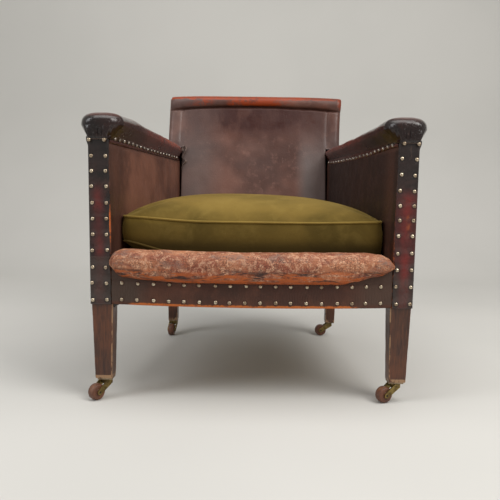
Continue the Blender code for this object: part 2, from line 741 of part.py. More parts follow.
def hessian_rows():
    """Rows of the hessian from front to rear as (depth, half width at a side, share of the bow, lifted)."""
    post_back = LEG_DEPTH + LEG_SET_BACK
    between_posts = POST_INNER - 2 * GAP
    on_rails = POST_OUTER - WEB_END_INSET
    between_stiles = STILE_INNER - 2 * GAP
    crest_front = SPRING_FIRST_Y - SPRING_END_RADIUS - SPRING_WIRE
    crest_rear = SPRING_FIRST_Y + SPRING_SPACING_Y * (SPRING_ROWS - 1) + SPRING_END_RADIUS + SPRING_WIRE
    flat_rear = REAR_LEG_FRONT - BACK_PAD_THICKNESS - BACK_PAD_CROWN - 2 * GAP
    rear_edge = REAR_LEG_FRONT + BACK_RAIL_SET_IN + BACK_RAIL_THICKNESS - WEB_END_INSET
    return [
        (HESSIAN_EDGE_Y, between_posts, 1.0, 0.0),
        (LIP_BACK + GAP, between_posts, 1.0, 0.0),
        (post_back + 2 * GAP, between_posts, 0.7, 0.05),
        (crest_front, on_rails, 0.0, 1.0),
        (mix(crest_front, crest_rear, 0.33), on_rails, 0.0, 1.0),
        (mix(crest_front, crest_rear, 0.67), on_rails, 0.0, 1.0),
        (crest_rear, on_rails, 0.0, 1.0),
        (flat_rear, on_rails, 0.0, 0.0),
        (REAR_LEG_FRONT - 2 * GAP, between_stiles, 0.0, 0.0),
        (rear_edge, between_stiles, 0.0, 0.0),
    ]


def build_hessian():
    """Hessian tacked along the rails and lifted by the springs, one open sheet with Solidify."""
    rows = hessian_rows()
    columns = [-1.0, -1.0, -1.0, -0.5, 0.0, 0.5, 1.0, 1.0, 1.0]
    bm = bmesh.new()
    bmesh.ops.create_grid(bm, x_segments=len(columns) - 1, y_segments=len(rows) - 1, size=1.0)
    flat_face = HALF_WIDTH_AT_POST - LEG_WIDTH - INNER_ARM_SWELL - 2 * GAP

    def place(co):
        column = round((co.x + 1) / 2 * (len(columns) - 1))
        y, edge, bow_share, lifted = rows[round((co.y + 1) / 2 * (len(rows) - 1))]
        from_side = min(column, len(columns) - 1 - column)
        flat = inner_face(flat_face, y, RAIL_TOP)
        half = (inner_face(edge, y, RAIL_TOP), flat, flat - HESSIAN_SHOULDER)[min(from_side, 2)]
        x = columns[column] * half
        lift = HESSIAN_RISE * lifted if from_side > 1 else 0.0
        return Vector((x, y - front_bow(x) * bow_share, HESSIAN_EDGE_TOP + lift))

    reshape(bm, place)
    mesh = bpy.data.meshes.new("hessian")
    bm.normal_update()
    for face in bm.faces:
        if face.normal.z < 0:
            face.normal_flip()
    bm.to_mesh(mesh)
    bm.free()
    piece = add_piece("hessian", mesh, JUTE)
    solidify = piece.modifiers.new("thickness", "SOLIDIFY")
    solidify.thickness = HESSIAN_THICKNESS
    solidify.offset = -1.0


def build_seat_deck():
    """Stuffed deck under the cushion, between the inner arm panels, the front roll and the inner back."""
    low = HESSIAN_TOP + GAP
    rear = stile_front(low) - BACK_PAD_THICKNESS - BACK_PAD_CROWN - 2 * GAP
    bm = block((-1.0, LIP_BACK + 2 * GAP, low), (1.0, rear, DECK_TOP), cuts_x=spread(-1.0, 1.0, 13)[1:-1])

    def place(co):
        face = HALF_WIDTH_AT_POST - LEG_WIDTH - DECK_SIDE_CLEARANCE
        share = (co.y - LIP_BACK) / (rear - LIP_BACK)
        x = co.x * inner_face(face, co.y, low)
        return Vector((x, co.y - front_bow(x) * (1.0 - share), co.z))

    add_piece("seat_deck", to_mesh("seat_deck", reshape(bm, place)), DECK_CLOTH)


def lip_section():
    """Section of the stuffed front roll as (depth, height) from its front lower edge over the top and down behind."""
    low = BORDER_TOP + GAP
    step = HESSIAN_EDGE_TOP + 2 * GAP
    front = -LIP_REACH
    back = LIP_BACK
    top = low + LIP_HEIGHT
    height = LIP_HEIGHT
    depth = LIP_DEPTH
    return [
        (LEATHER - 2 * GAP, low),
        (front + depth * 0.17, low),
        (front + depth * 0.05, low + height * 0.10),
        (front, low + height * 0.28),
        (front, low + height * 0.50),
        (front + depth * 0.055, low + height * 0.72),
        (front + depth * 0.19, low + height * 0.92),
        (front + depth * 0.38, top),
        (front + depth * 0.60, top - height * 0.012),
        (front + depth * 0.82, top - height * 0.12),
        (back - depth * 0.03, top - height * 0.30),
        (back, top - height * 0.50),
        (back, step),
        (LEATHER - 2 * GAP, step),
    ]


def build_front_lip():
    """Worn leather roll along the seat front, bowed with the rail and rounded at both ends."""
    section = lip_section()
    stations = [-1.0, -0.985, -0.94, -0.86, -0.72, -0.54, -0.36, -0.18, 0.0]
    stations += [-s for s in reversed(stations[:-1])]
    centre = Vector((0.0, -POST_FRONT, BORDER_TOP + LIP_HEIGHT * 0.5))

    def place(ring, turn):
        index = min(max(ring - 1, 0), len(stations) - 1)
        share = stations[index]
        if ring == 0 or ring == len(stations) + 1:
            depth, height = centre.y, centre.z
        else:
            depth, height = section[round(turn / (2 * math.pi) * len(section)) % len(section)]
            from_end = (1.0 - abs(share)) / LIP_END_SHARE
            full = math.sqrt(1.0 - (1.0 - min(1.0, from_end)) ** 2)
            over_rail = height > HESSIAN_EDGE_TOP + 3 * GAP
            if height > centre.z:
                height = mix(centre.z, height, mix(LIP_END_HEIGHT_SHARE, 1.0, full))
            if depth < 0:
                depth *= mix(LIP_END_DEPTH_SHARE, 1.0, full)
            elif over_rail:
                depth = mix(POST_FRONT * 3, depth, mix(LIP_END_HEIGHT_SHARE, 1.0, full))
        half = inner_face(HALF_WIDTH_AT_POST - LEG_WIDTH, max(depth, 0.0), BORDER_TOP) - LIP_END_CLEARANCE
        return Vector((share * half, depth - front_bow(share * half), height))

    bm = ringed_body(len(stations), len(section), place)
    add_piece("front_lip", to_mesh("front_lip", bm), LIP_LEATHER, smooth_angle=60)


def build_cushion():
    """Loose velvet cushion, narrower at the rear, with a flat bottom, upright borders and a crowned top."""
    low = DECK_TOP + GAP
    high = low + CUSHION_EDGE
    bm = block(
        (-1.0, 0.0, 0.0),
        (1.0, 1.0, 1.0),
        cuts_x=spread(-1.0, 1.0, 9)[1:-1],
        cuts_y=spread(0.0, 1.0, 9)[1:-1],
        cuts_z=(0.5,),
    )

    def place(co):
        y = CUSHION_FRONT + CUSHION_DEPTH * co.y
        clearance = mix(CUSHION_SIDE_CLEARANCE_FRONT, CUSHION_SIDE_CLEARANCE_REAR, co.y)
        half = inner_face(HALF_WIDTH_AT_POST - LEG_WIDTH, y, low) - clearance - CUSHION_SIDE_BULGE
        across = co.x
        along = 2.0 * co.y - 1.0
        bulge = 1.0 - (2.0 * co.z - 1.0) ** 2
        x = across * (half + CUSHION_SIDE_BULGE * bulge * (1.0 - along * along * 0.5))
        y += along * abs(along) * CUSHION_SIDE_BULGE * (bulge - 1.0) * (1.0 - across * across * 0.5)
        fall = (1.0 - abs(across) ** CUSHION_CROWN_FLATNESS) * (1.0 - abs(along) ** CUSHION_CROWN_FLATNESS)
        crown = CUSHION_CROWN * fall**CUSHION_CROWN_FALL
        z = low + co.z * (high - low + crown)
        return Vector((x, y, z))

    add_piece("seat_cushion", to_mesh("seat_cushion", reshape(bm, place)), VELVET, smooth_angle=50)


def build_inner_arm_panel(side, sign):
    """Padded leather inside an arm: a thin skin over the post, and padding between the post and the stile."""
    face = HALF_WIDTH_AT_POST - LEG_WIDTH
    post_back = LEG_DEPTH + LEG_SET_BACK
    skin = 1.0 - (LEATHER - 2 * GAP) / INNER_ARM_PADDING
    low = HESSIAN_EDGE_TOP + GAP
    high = ARM_RAIL_TOP
    bm = block(
        (0.0, 0.0, low),
        (1.0, 1.0, high),
        cuts_x=(skin,),
        cuts_y=INNER_ARM_ROW_SHARES,
        cuts_z=spread(low, high, 6)[1:-1],
    )
    rear = stile_front(low) - GAP
    skin_row, step_row, stile_row = INNER_ARM_ROW_SHARES[0], INNER_ARM_ROW_SHARES[1], INNER_ARM_ROW_SHARES[-1]

    def place(co):
        deep = co.y
        on_post = deep < (skin_row + step_row) / 2
        if on_post:
            y = mix(POST_FRONT, post_back + GAP, deep / skin_row)
        elif deep > stile_row - GAP:
            y = mix(REAR_LEG_FRONT - GAP, stile_front(co.z) - GAP, (deep - stile_row) / (1.0 - stile_row))
        else:
            y = mix(post_back + 2 * GAP, rear, (deep - step_row) / (stile_row - step_row))
        backing = face + LEATHER - 2 * GAP if on_post else SIDE_RAIL_INNER - GAP
        up = (co.z - low) / (high - low)
        along = min(max((deep - skin_row) / (stile_row - skin_row), 0.0), 1.0)
        swell = INNER_ARM_SWELL * math.sin(math.pi * up) * math.sin(math.pi * along)
        x = mix(face - swell, backing, co.x)
        return Vector((x, y, co.z))

    mesh = side_mesh("inner_arm_panel_" + side, reshape(bm, place), sign)
    add_piece("inner_arm_panel_" + side, mesh, ARM_LEATHER, smooth_angle=50)


def build_outer_arm_panel(side, sign):
    """Leather stretched over the outside of the arm, from the front post to the rear of the stile."""
    bm = block(
        (HALF_WIDTH_AT_POST - LEATHER, 0.0, COVER_BOTTOM),
        (HALF_WIDTH_AT_POST, 1.0, ARM_RAIL_TOP),
        cuts_y=(0.5,),
        cuts_z=(RAIL_TOP, (RAIL_TOP + ARM_RAIL_TOP) / 2),
    )

    def place(co):
        y = POST_FRONT
        if co.y > 0.25:
            y = REAR_LEG_FRONT
        if co.y > 0.75:
            y = stile_rear(co.z)
        return Vector((co.x, y, co.z))

    mesh = side_mesh("outer_arm_panel_" + side, reshape(bm, place), sign)
    add_piece("outer_arm_panel_" + side, mesh, ARM_LEATHER)


def build_arm_roll(side, sign):
    """Stuffed leather roll on top of an arm, gathered into pleats at the front and tapering to the rear."""
    end = stile_front(ARM_RAIL_TOP) - REAR_LEG_FRONT
    stations = [
        (0.0, 0.30, 1.0),
        (0.0, 0.60, 0.75),
        (0.0, 0.84, 0.45),
        (0.0, 0.96, 0.10),
        (0.010, 1.0, 0.0),
        (0.060, 1.0, 0.0),
        (0.200, 1.0, 0.0),
        (0.400, 1.0, 0.0),
        (REAR_LEG_FRONT, 1.0, 0.0),
        (REAR_LEG_FRONT + end, 1.0, 0.0),
    ]
    post_top_cover = ARM_RAIL_TOP + FACING_OVERLAP + GAP

    def place(ring, turn):
        index = min(max(ring - 1, 0), len(stations) - 1)
        depth, scale, bulge = stations[index]
        if ring == 0:
            scale = 0.0
        if ring == len(stations) + 1:
            scale = 0.0
        back = min(depth / REAR_LEG_FRONT, 1.0)
        half = mix(ARM_ROLL_FRONT_HALF_WIDTH, ARM_ROLL_REAR_HALF_WIDTH, back)
        height = mix(ARM_ROLL_FRONT_HEIGHT, ARM_ROLL_REAR_HEIGHT, back)
        middle = POST_OUTER - mix(ARM_ROLL_FRONT_SET_IN, ARM_ROLL_REAR_SET_IN, back)
        waist = ARM_ROLL_BOTTOM + height * ARM_ROLL_WAIST_SHARE
        up = height * (1.0 - ARM_ROLL_WAIST_SHARE)
        down = height * ARM_ROLL_WAIST_SHARE * ARM_ROLL_UNDERCUT
        c = math.cos(turn)
        s = math.sin(turn)
        x = middle + scale * half * math.copysign(abs(c) ** ARM_ROLL_SQUARENESS, c)
        z = waist + scale * (up if s > 0 else down) * math.copysign(abs(s) ** ARM_ROLL_SQUARENESS, s)
        z = max(z, mix(waist, ARM_ROLL_BOTTOM, min(scale * 1.15, 1.0)))
        y = depth
        if ring <= 4:
            if ring <= 2:
                z = max(z, post_top_cover)
            free = smooth((z - post_top_cover) / ARM_ROLL_FRONT_BULGE - 1.0)
            pleat = ARM_ROLL_PLEAT_DEPTH * math.cos(ARM_ROLL_PLEATS * turn) * math.sin(math.pi * min(scale, 0.96))
            y = POST_FRONT - free * (ARM_ROLL_FRONT_BULGE * bulge + pleat)
        if ring >= len(stations):
            y = stile_front(z) - GAP
        return Vector((x, y, z))

    bm = ringed_body(len(stations), 2 * ARM_ROLL_PLEATS, place)
    mesh = side_mesh("arm_roll_" + side, bm, sign)
    add_piece("arm_roll_" + side, mesh, ARM_LEATHER, smooth_angle=40)


def build_back_pad():
    """Padded inner back, narrow between the arms and wide above them, with a stuffed roll round its upper edges."""
    narrow = inner_face(HALF_WIDTH_AT_POST - LEG_WIDTH, REAR_LEG_FRONT, RAIL_TOP) - BACK_PAD_ARM_CLEARANCE
    wide = inner_face(POST_OUTER, REAR_LEG_FRONT, ARM_RAIL_TOP) + BACK_SIDE_PADDING
    groove = 1.0 - BACK_ROLL_WIDTH / wide
    low = HESSIAN_EDGE_TOP + 2 * GAP
    over = STILE_TOP + GAP
    roll_low = BACK_PAD_TOP - BACK_ROLL_WIDTH
    columns = [0.0, 0.45, groove - 0.05, groove, 1.0 - BACK_ROLL_WIDTH * 0.5 / wide, 0.98]
    columns = [-c for c in reversed(columns[1:])] + columns
    rows = spread(low, BACK_PAD_SHELF, 5)[1:-1] + [BACK_PAD_SHELF - GAP, BACK_PAD_SHELF]
    rows += spread(BACK_PAD_SHELF, roll_low, 4)[1:-1] + [roll_low - BACK_ROLL_LEAD, roll_low]
    rows += [roll_low + BACK_ROLL_WIDTH * 0.5, over, over + GAP]
    bm = block((-1.0, 0.0, low), (1.0, 1.0, BACK_PAD_TOP), cuts_x=columns, cuts_z=rows)

    def place(co):
        upper = co.z > BACK_PAD_SHELF - GAP / 2
        half = wide if upper else narrow
        across = abs(co.x)
        crown = (1.0 - co.x * co.x) * math.sin(math.pi * min(max((co.z - low) / (roll_low - low), 0.0), 1.0))
        depth = BACK_PAD_THICKNESS + BACK_PAD_CROWN * crown
        from_edge = min((1.0 - across) * wide, BACK_PAD_TOP - co.z)
        if upper and from_edge < BACK_ROLL_WIDTH:
            roll = math.sin(math.pi * from_edge / BACK_ROLL_WIDTH)
            depth = BACK_PAD_THICKNESS + BACK_ROLL_HEIGHT * roll
            depth -= BACK_EDGE_DROP * (1.0 - smooth(from_edge / BACK_EDGE_ROUNDING))
        elif upper and from_edge < BACK_ROLL_WIDTH + BACK_CREASE_WIDTH:
            depth = BACK_PAD_THICKNESS - BACK_CREASE_DEPTH
        rear = -GAP
        if co.z > over + GAP / 2:
            rear = stile_depth(co.z)
        y = stile_front(co.z) + mix(-depth, rear, co.y)
        return Vector((co.x * half, y, co.z))

    mesh = to_mesh("back_pad", reshape(bm, place))
    add_piece("back_pad", mesh, BACK_LEATHER, smooth_angle=50)


def build_outer_back_cover():
    """Leather over the rear of the stiles, one open sheet with Solidify."""
    half = inner_face(POST_OUTER, REAR_LEG_FRONT, ARM_RAIL_TOP)
    heights = [COVER_BOTTOM, RAIL_TOP, ARM_RAIL_TOP, STILE_TOP]
    bm = bmesh.new()
    bmesh.ops.create_grid(bm, x_segments=4, y_segments=3, size=1.0)

    def place(co):
        z = heights[round((co.y + 1) * 1.5)]
        return Vector((co.x * half, stile_rear(z) + GAP, z))

    reshape(bm, place)
    for face in bm.faces:
        face.normal_update()
        if face.normal.y < 0:
            face.normal_flip()
    mesh = bpy.data.meshes.new("outer_back_cover")
    bm.to_mesh(mesh)
    bm.free()
    piece = add_piece("outer_back_cover", mesh, BACK_LEATHER)
    solidify = piece.modifiers.new("thickness", "SOLIDIFY")
    solidify.thickness = LEATHER
    solidify.offset = 1.0


def nail_domes(places):
    """Domed nail heads that face -Y, sunk a little into the leather whose surface is at each place."""
    bm = bmesh.new()
    for place in places:
        before = set(bm.verts)
        bmesh.ops.create_uvsphere(bm, u_segments=NAIL_SIDES, v_segments=4, radius=1.0)
        for vert in set(bm.verts) - before:
            out = vert.co.z
            if out < 0:
                out *= 0.3
            local = Vector((vert.co.x * NAIL_RADIUS, NAIL_SINK - out * NAIL_HEIGHT, vert.co.y * NAIL_RADIUS))
            vert.co = place + local
    return bm


def nail_heights():
    """Heights of the nail rows on a post: the two lowest line up with the border's rows."""
    bottom = COVER_BOTTOM + NAIL_BOTTOM_INSET
    second = bottom + BORDER_ROW_SPACING
    return [bottom] + [second + NAIL_PITCH * i for i in range(NAIL_ROWS - 1)]


def build_post_facing(side, sign):
    """Leather facing on the front of a post with its two columns of brass nails."""
    inner = HALF_WIDTH_AT_POST - LEG_WIDTH
    top = ARM_RAIL_TOP + FACING_OVERLAP
    bm = block(
        (inner, 0.0, COVER_BOTTOM),
        (HALF_WIDTH_AT_POST, LEATHER, top),
        cuts_z=(RAIL_TOP, (RAIL_TOP + ARM_RAIL_TOP) / 2, ARM_RAIL_TOP),
    )
    facing = side_mesh("facing", bm, sign)
    outer_column = HALF_WIDTH_AT_POST - NAIL_EDGE_INSET
    places = []
    for z in nail_heights():
        for x in (outer_column, outer_column - NAIL_COLUMN_SPACING):
            places.append(place_on_side(Vector((x, 0.0, z)), sign))
    nails = to_mesh("nails", nail_domes(places))
    mesh = combined_mesh("post_facing_" + side, facing, [("UNION", nails)])
    add_piece("post_facing_" + side, mesh, POST_LEATHER)


def build_front_border():
    """Leather border along the bowed front rail with its two rows of brass nails."""
    count = NAIL_COLUMNS_BETWEEN_POSTS
    bm = block(
        (-1.0, 0.0, COVER_BOTTOM), (1.0, LEATHER, BORDER_TOP), cuts_x=spread(-1.0, 1.0, count + 1)[1:-1]
    )

    def place(co):
        x = co.x * BORDER_HALF
        if abs(co.x) > 1.0 - GAP:
            x = math.copysign(inner_face(BORDER_HALF, co.y, co.z), co.x)
        return Vector((x, co.y - front_bow(x), co.z))

    border = to_mesh("border", reshape(bm, place))
    low = COVER_BOTTOM + NAIL_BOTTOM_INSET
    places = []
    for index in range(count):
        share = (2 * index + 1) / count - 1.0
        x = share * BORDER_HALF
        for z in (low, low + BORDER_ROW_SPACING):
            places.append(Vector((x, -front_bow(x), z)))
    nails = to_mesh("nails", nail_domes(places))
    mesh = combined_mesh("front_border", border, [("UNION", nails)])
    add_piece("front_border", mesh, BORDER_LEATHER)


def build_chair():
    build_front_rail()
    build_back_rails()
    for side, sign in SIDES.items():
        build_front_leg(side, sign)
        build_rear_leg(side, sign)
        build_side_rails(side, sign)
        build_inner_arm_panel(side, sign)
        build_outer_arm_panel(side, sign)
        build_arm_roll(side, sign)
        build_post_facing(side, sign)
    build_front_border()
    build_casters()
    build_webbing()
    build_springs()
    build_hessian()
    build_seat_deck()
    build_front_lip()
    build_cushion()
    build_back_pad()
    build_outer_back_cover()


build_chair()
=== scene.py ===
import json
import math

import bmesh
import bpy
from mathutils import Matrix, Vector, noise

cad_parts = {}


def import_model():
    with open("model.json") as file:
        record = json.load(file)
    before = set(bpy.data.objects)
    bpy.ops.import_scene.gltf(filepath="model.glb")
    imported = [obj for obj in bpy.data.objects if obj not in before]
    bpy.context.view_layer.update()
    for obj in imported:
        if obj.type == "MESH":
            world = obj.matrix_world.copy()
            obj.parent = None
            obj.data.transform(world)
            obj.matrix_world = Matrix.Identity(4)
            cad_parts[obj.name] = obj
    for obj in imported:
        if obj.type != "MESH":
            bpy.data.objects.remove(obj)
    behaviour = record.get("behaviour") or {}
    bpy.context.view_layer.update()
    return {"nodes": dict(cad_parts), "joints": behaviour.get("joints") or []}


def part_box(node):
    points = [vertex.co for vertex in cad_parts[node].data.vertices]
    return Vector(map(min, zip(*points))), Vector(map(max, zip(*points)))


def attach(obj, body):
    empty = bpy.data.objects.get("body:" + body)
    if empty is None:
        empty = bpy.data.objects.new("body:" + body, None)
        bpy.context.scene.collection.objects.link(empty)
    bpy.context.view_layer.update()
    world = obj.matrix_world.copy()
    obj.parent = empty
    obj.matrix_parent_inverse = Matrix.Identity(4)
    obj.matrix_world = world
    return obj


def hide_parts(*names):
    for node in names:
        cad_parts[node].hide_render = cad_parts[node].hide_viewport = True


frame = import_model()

# Shapes are drawn as in the part's source: x right, y back from the front plane of the leather on the posts,
# z up from the floor. world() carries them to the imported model's frame.
DRAW_TO_WORLD = 0.3473916

GAP = 0.0003
LEATHER = 0.0027
POST_HALF = 0.3337
POST_WIDTH = 0.042
POST_INNER_X = POST_HALF - POST_WIDTH
POST_DEPTH = 0.046
COVER_BOTTOM = 0.2055
BORDER_TOP = 0.2560
RAIL_TOP = 0.2622
DECK_TOP = 0.3058
ARM_TOP = 0.5402
FACING_TOP = 0.5512
STILE_TOP = 0.7387
BACK_TOP = 0.7452
REAR_FRONT = 0.612
RAKE_DEGREES = 12.0
TAPER = 0.112
LEAN = 0.0045
BOW = 0.025
TIMBER_HALF = POST_HALF - LEATHER - GAP
CASTER_HEIGHT = 0.0455
WHEEL_RADIUS = 0.0175
SEAM_HEIGHT = 0.3057
SIDES = {"left": -1, "right": 1}


def world(x, y, z):
    return Vector((x, y - DRAW_TO_WORLD, z))


def clamp(value):
    return min(max(value, 0.0), 1.0)


def smooth(share):
    t = clamp(share)
    return t * t * (3.0 - 2.0 * t)


def mix(a, b, share):
    return a + (b - a) * share


def spread(first, last, count):
    return [mix(first, last, i / (count - 1)) for i in range(count)]


def table(value, points):
    """Reads a value between (position, value) points."""
    for (a, low), (b, high) in zip(points, points[1:]):
        if value <= b:
            return mix(low, high, smooth((value - a) / (b - a)))
    return points[-1][1]


def flare(z):
    return LEAN * clamp((z - COVER_BOTTOM) / (ARM_TOP - COVER_BOTTOM))


def shift(y):
    return TAPER * min(y, REAR_FRONT)


def side_x(x, y, z):
    return x + flare(z) - shift(y)


def bow(x):
    share = min(abs(x) / (POST_INNER_X - GAP), 1.0)
    return BOW * (1.0 - share * share)


def stile_front(z):
    return REAR_FRONT + math.tan(math.radians(RAKE_DEGREES)) * max(0.0, z - RAIL_TOP)


def stile_rear(z):
    share = clamp((z - RAIL_TOP) / (STILE_TOP - RAIL_TOP))
    return stile_front(z) + mix(0.040, 0.024, share)


def rough(x, y, z, scale, seed=0.0):
    """Seeded smooth noise of about -1 to 1 at a scale in features a metre."""
    return noise.noise(Vector((x * scale + seed, y * scale - seed, z * scale + 0.37 * seed)))


def rounding(distance, radius):
    """How far a rounded edge has fallen back at a distance from it."""
    if distance >= radius:
        return 0.0
    return radius - math.sqrt(max(radius * radius - (radius - distance) ** 2, 0.0))


def hump(distance, width):
    """1 where the distance is 0, dying away over a width on both sides."""
    return math.exp(-((distance / width) ** 2))


# Pieces


def make_piece(name, verts, faces, material, body="frame", replaces=(), slot=None, sharp=None, paint=None):
    """Makes one mesh that rides on a body. Paint gives each painted share as a number or a function."""
    mesh = bpy.data.meshes.new(name)
    mesh.from_pydata(verts, [], faces)
    mesh.update()
    bm = bmesh.new()
    bm.from_mesh(mesh)
    bmesh.ops.recalc_face_normals(bm, faces=bm.faces[:])
    bm.to_mesh(mesh)
    bm.free()
    mesh.shade_smooth()
    if sharp is not None:
        mesh.set_sharp_from_angle(angle=math.radians(sharp))
    mesh.materials.append(material)
    for key, amount in (paint or {}).items():
        if callable(amount):
            values = [float(amount(v.co)) for v in mesh.vertices]
        else:
            values = [amount] * len(mesh.vertices)
        mesh.attributes.new(key, "FLOAT", "POINT").data.foreach_set("value", values)
    obj = bpy.data.objects.new(name, mesh)
    bpy.context.scene.collection.objects.link(obj)
    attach(obj, body)
    if replaces:
        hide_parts(*replaces)
    return obj


def grid_faces(across, along, start=0, wrap=False):
    faces = []
    for j in range(along - 1):
        for i in range(across if wrap else across - 1):
            k = (i + 1) % across
            faces.append((start + j * across + i, start + j * across + k, start + (j + 1) * across + k,
                          start + (j + 1) * across + i))
    return faces


def closed_faces(sides, count):
    """Faces of a body through rings of points, with a flat polygon at each end."""
    ends = [tuple(range(sides))[::-1], tuple((count - 1) * sides + k for k in range(sides))]
    return grid_faces(sides, count, wrap=True) + ends


def loft(rings):
    """Verts and faces of a body through rings of points, with a fan of triangles at each end."""
    sides = len(rings[0])
    verts = [point for ring in rings for point in ring]
    faces = grid_faces(sides, len(rings), wrap=True)
    for first in (0, (len(rings) - 1) * sides):
        verts.append(sum((verts[first + k] for k in range(sides)), Vector()) / sides)
        faces += [(first + k, first + (k + 1) % sides, len(verts) - 1) for k in range(sides)]
    return verts, faces


def slab(us, vs, front, back):
    """Verts and faces of a closed sheet between front(u, v) and back(u, v)."""
    nu, nv = len(us), len(vs)
    verts = [front(u, v) for v in vs for u in us] + [back(u, v) for v in vs for u in us]
    faces = grid_faces(nu, nv) + [tuple(reversed(f)) for f in grid_faces(nu, nv, nu * nv)]
    ring = list(range(nu)) + [j * nu + nu - 1 for j in range(1, nv)]
    ring += [(nv - 1) * nu + i for i in range(nu - 2, -1, -1)] + [j * nu for j in range(nv - 2, 0, -1)]
    for a, b in zip(ring, ring[1:] + ring[:1]):
        faces.append((b, a, a + nu * nv, b + nu * nv))
    return verts, faces


def tube(path, radius, sides=8, closed=False):
    """Verts and faces of a round tube along a path of points."""
    verts = []
    count = len(path)
    radii = radius if isinstance(radius, list) else [radius] * count
    lift = Vector((0.0, 0.0, 1.0))
    for i, point in enumerate(path):
        ahead = path[(i + 1) % count] if closed or i + 1 < count else point
        behind = path[i - 1] if closed or i else point
        along = (ahead - behind).normalized()
        side = along.cross(lift)
        side = side.normalized() if side.length > 1e-4 else Vector((1.0, 0.0, 0.0))
        up = side.cross(along).normalized()
        for k in range(sides):
            turn = math.tau * k / sides
            verts.append(point + radii[i] * (math.cos(turn) * side + math.sin(turn) * up))
    if not closed:
        return verts, closed_faces(sides, count)
    last = (count - 1) * sides
    joined = [(last + k, last + (k + 1) % sides, (k + 1) % sides, k) for k in range(sides)]
    return verts, grid_faces(sides, count, wrap=True) + joined


def lathe(profile, sides):
    """Verts and faces of a closed (radius, height) profile turned about the local Z axis."""
    verts = []
    for step in range(sides):
        turn = math.tau * step / sides
        verts += [Vector((r * math.cos(turn), r * math.sin(turn), h)) for r, h in profile]
    count = len(profile)
    faces = []
    for step in range(sides):
        following = (step + 1) % sides
        for i in range(count):
            k = (i + 1) % count
            faces.append((step * count + i, following * count + i, following * count + k, step * count + k))
    return verts, faces


def merge(parts):
    verts, faces = [], []
    for some_verts, some_faces in parts:
        start = len(verts)
        verts += some_verts
        faces += [tuple(start + i for i in face) for face in some_faces]
    return verts, faces


def dome(place, outward, radius, height, sides=16, rings=4):
    """One domed nail head with a short rim that goes into the leather."""
    normal = outward.normalized()
    side = normal.orthogonal().normalized()
    up = normal.cross(side)
    verts = []
    levels = [(1.0, -0.0012), (1.0, 0.0002)]
    for ring in range(1, rings):
        angle = math.pi / 2 * ring / rings
        levels.append((math.cos(angle), height * math.sin(angle)))
    for share, rise in levels:
        for k in range(sides):
            turn = math.tau * k / sides
            around = math.cos(turn) * side + math.sin(turn) * up
            verts.append(place + radius * share * around + normal * rise)
    faces = grid_faces(sides, len(levels), wrap=True)
    verts.append(place + normal * height)
    top = len(verts) - 1
    last = (len(levels) - 1) * sides
    faces += [(last + k, last + (k + 1) % sides, top) for k in range(sides)]
    faces.append(tuple(range(sides))[::-1])
    return verts, faces


# Materials


def colour(code):
    """A colour written as #rrggbb, as Blender's linear values."""
    values = [int(code[i:i + 2], 16) / 255 for i in (1, 3, 5)]
    return tuple(v / 12.92 if v <= 0.04045 else ((v + 0.055) / 1.055) ** 2.4 for v in values) + (1.0,)


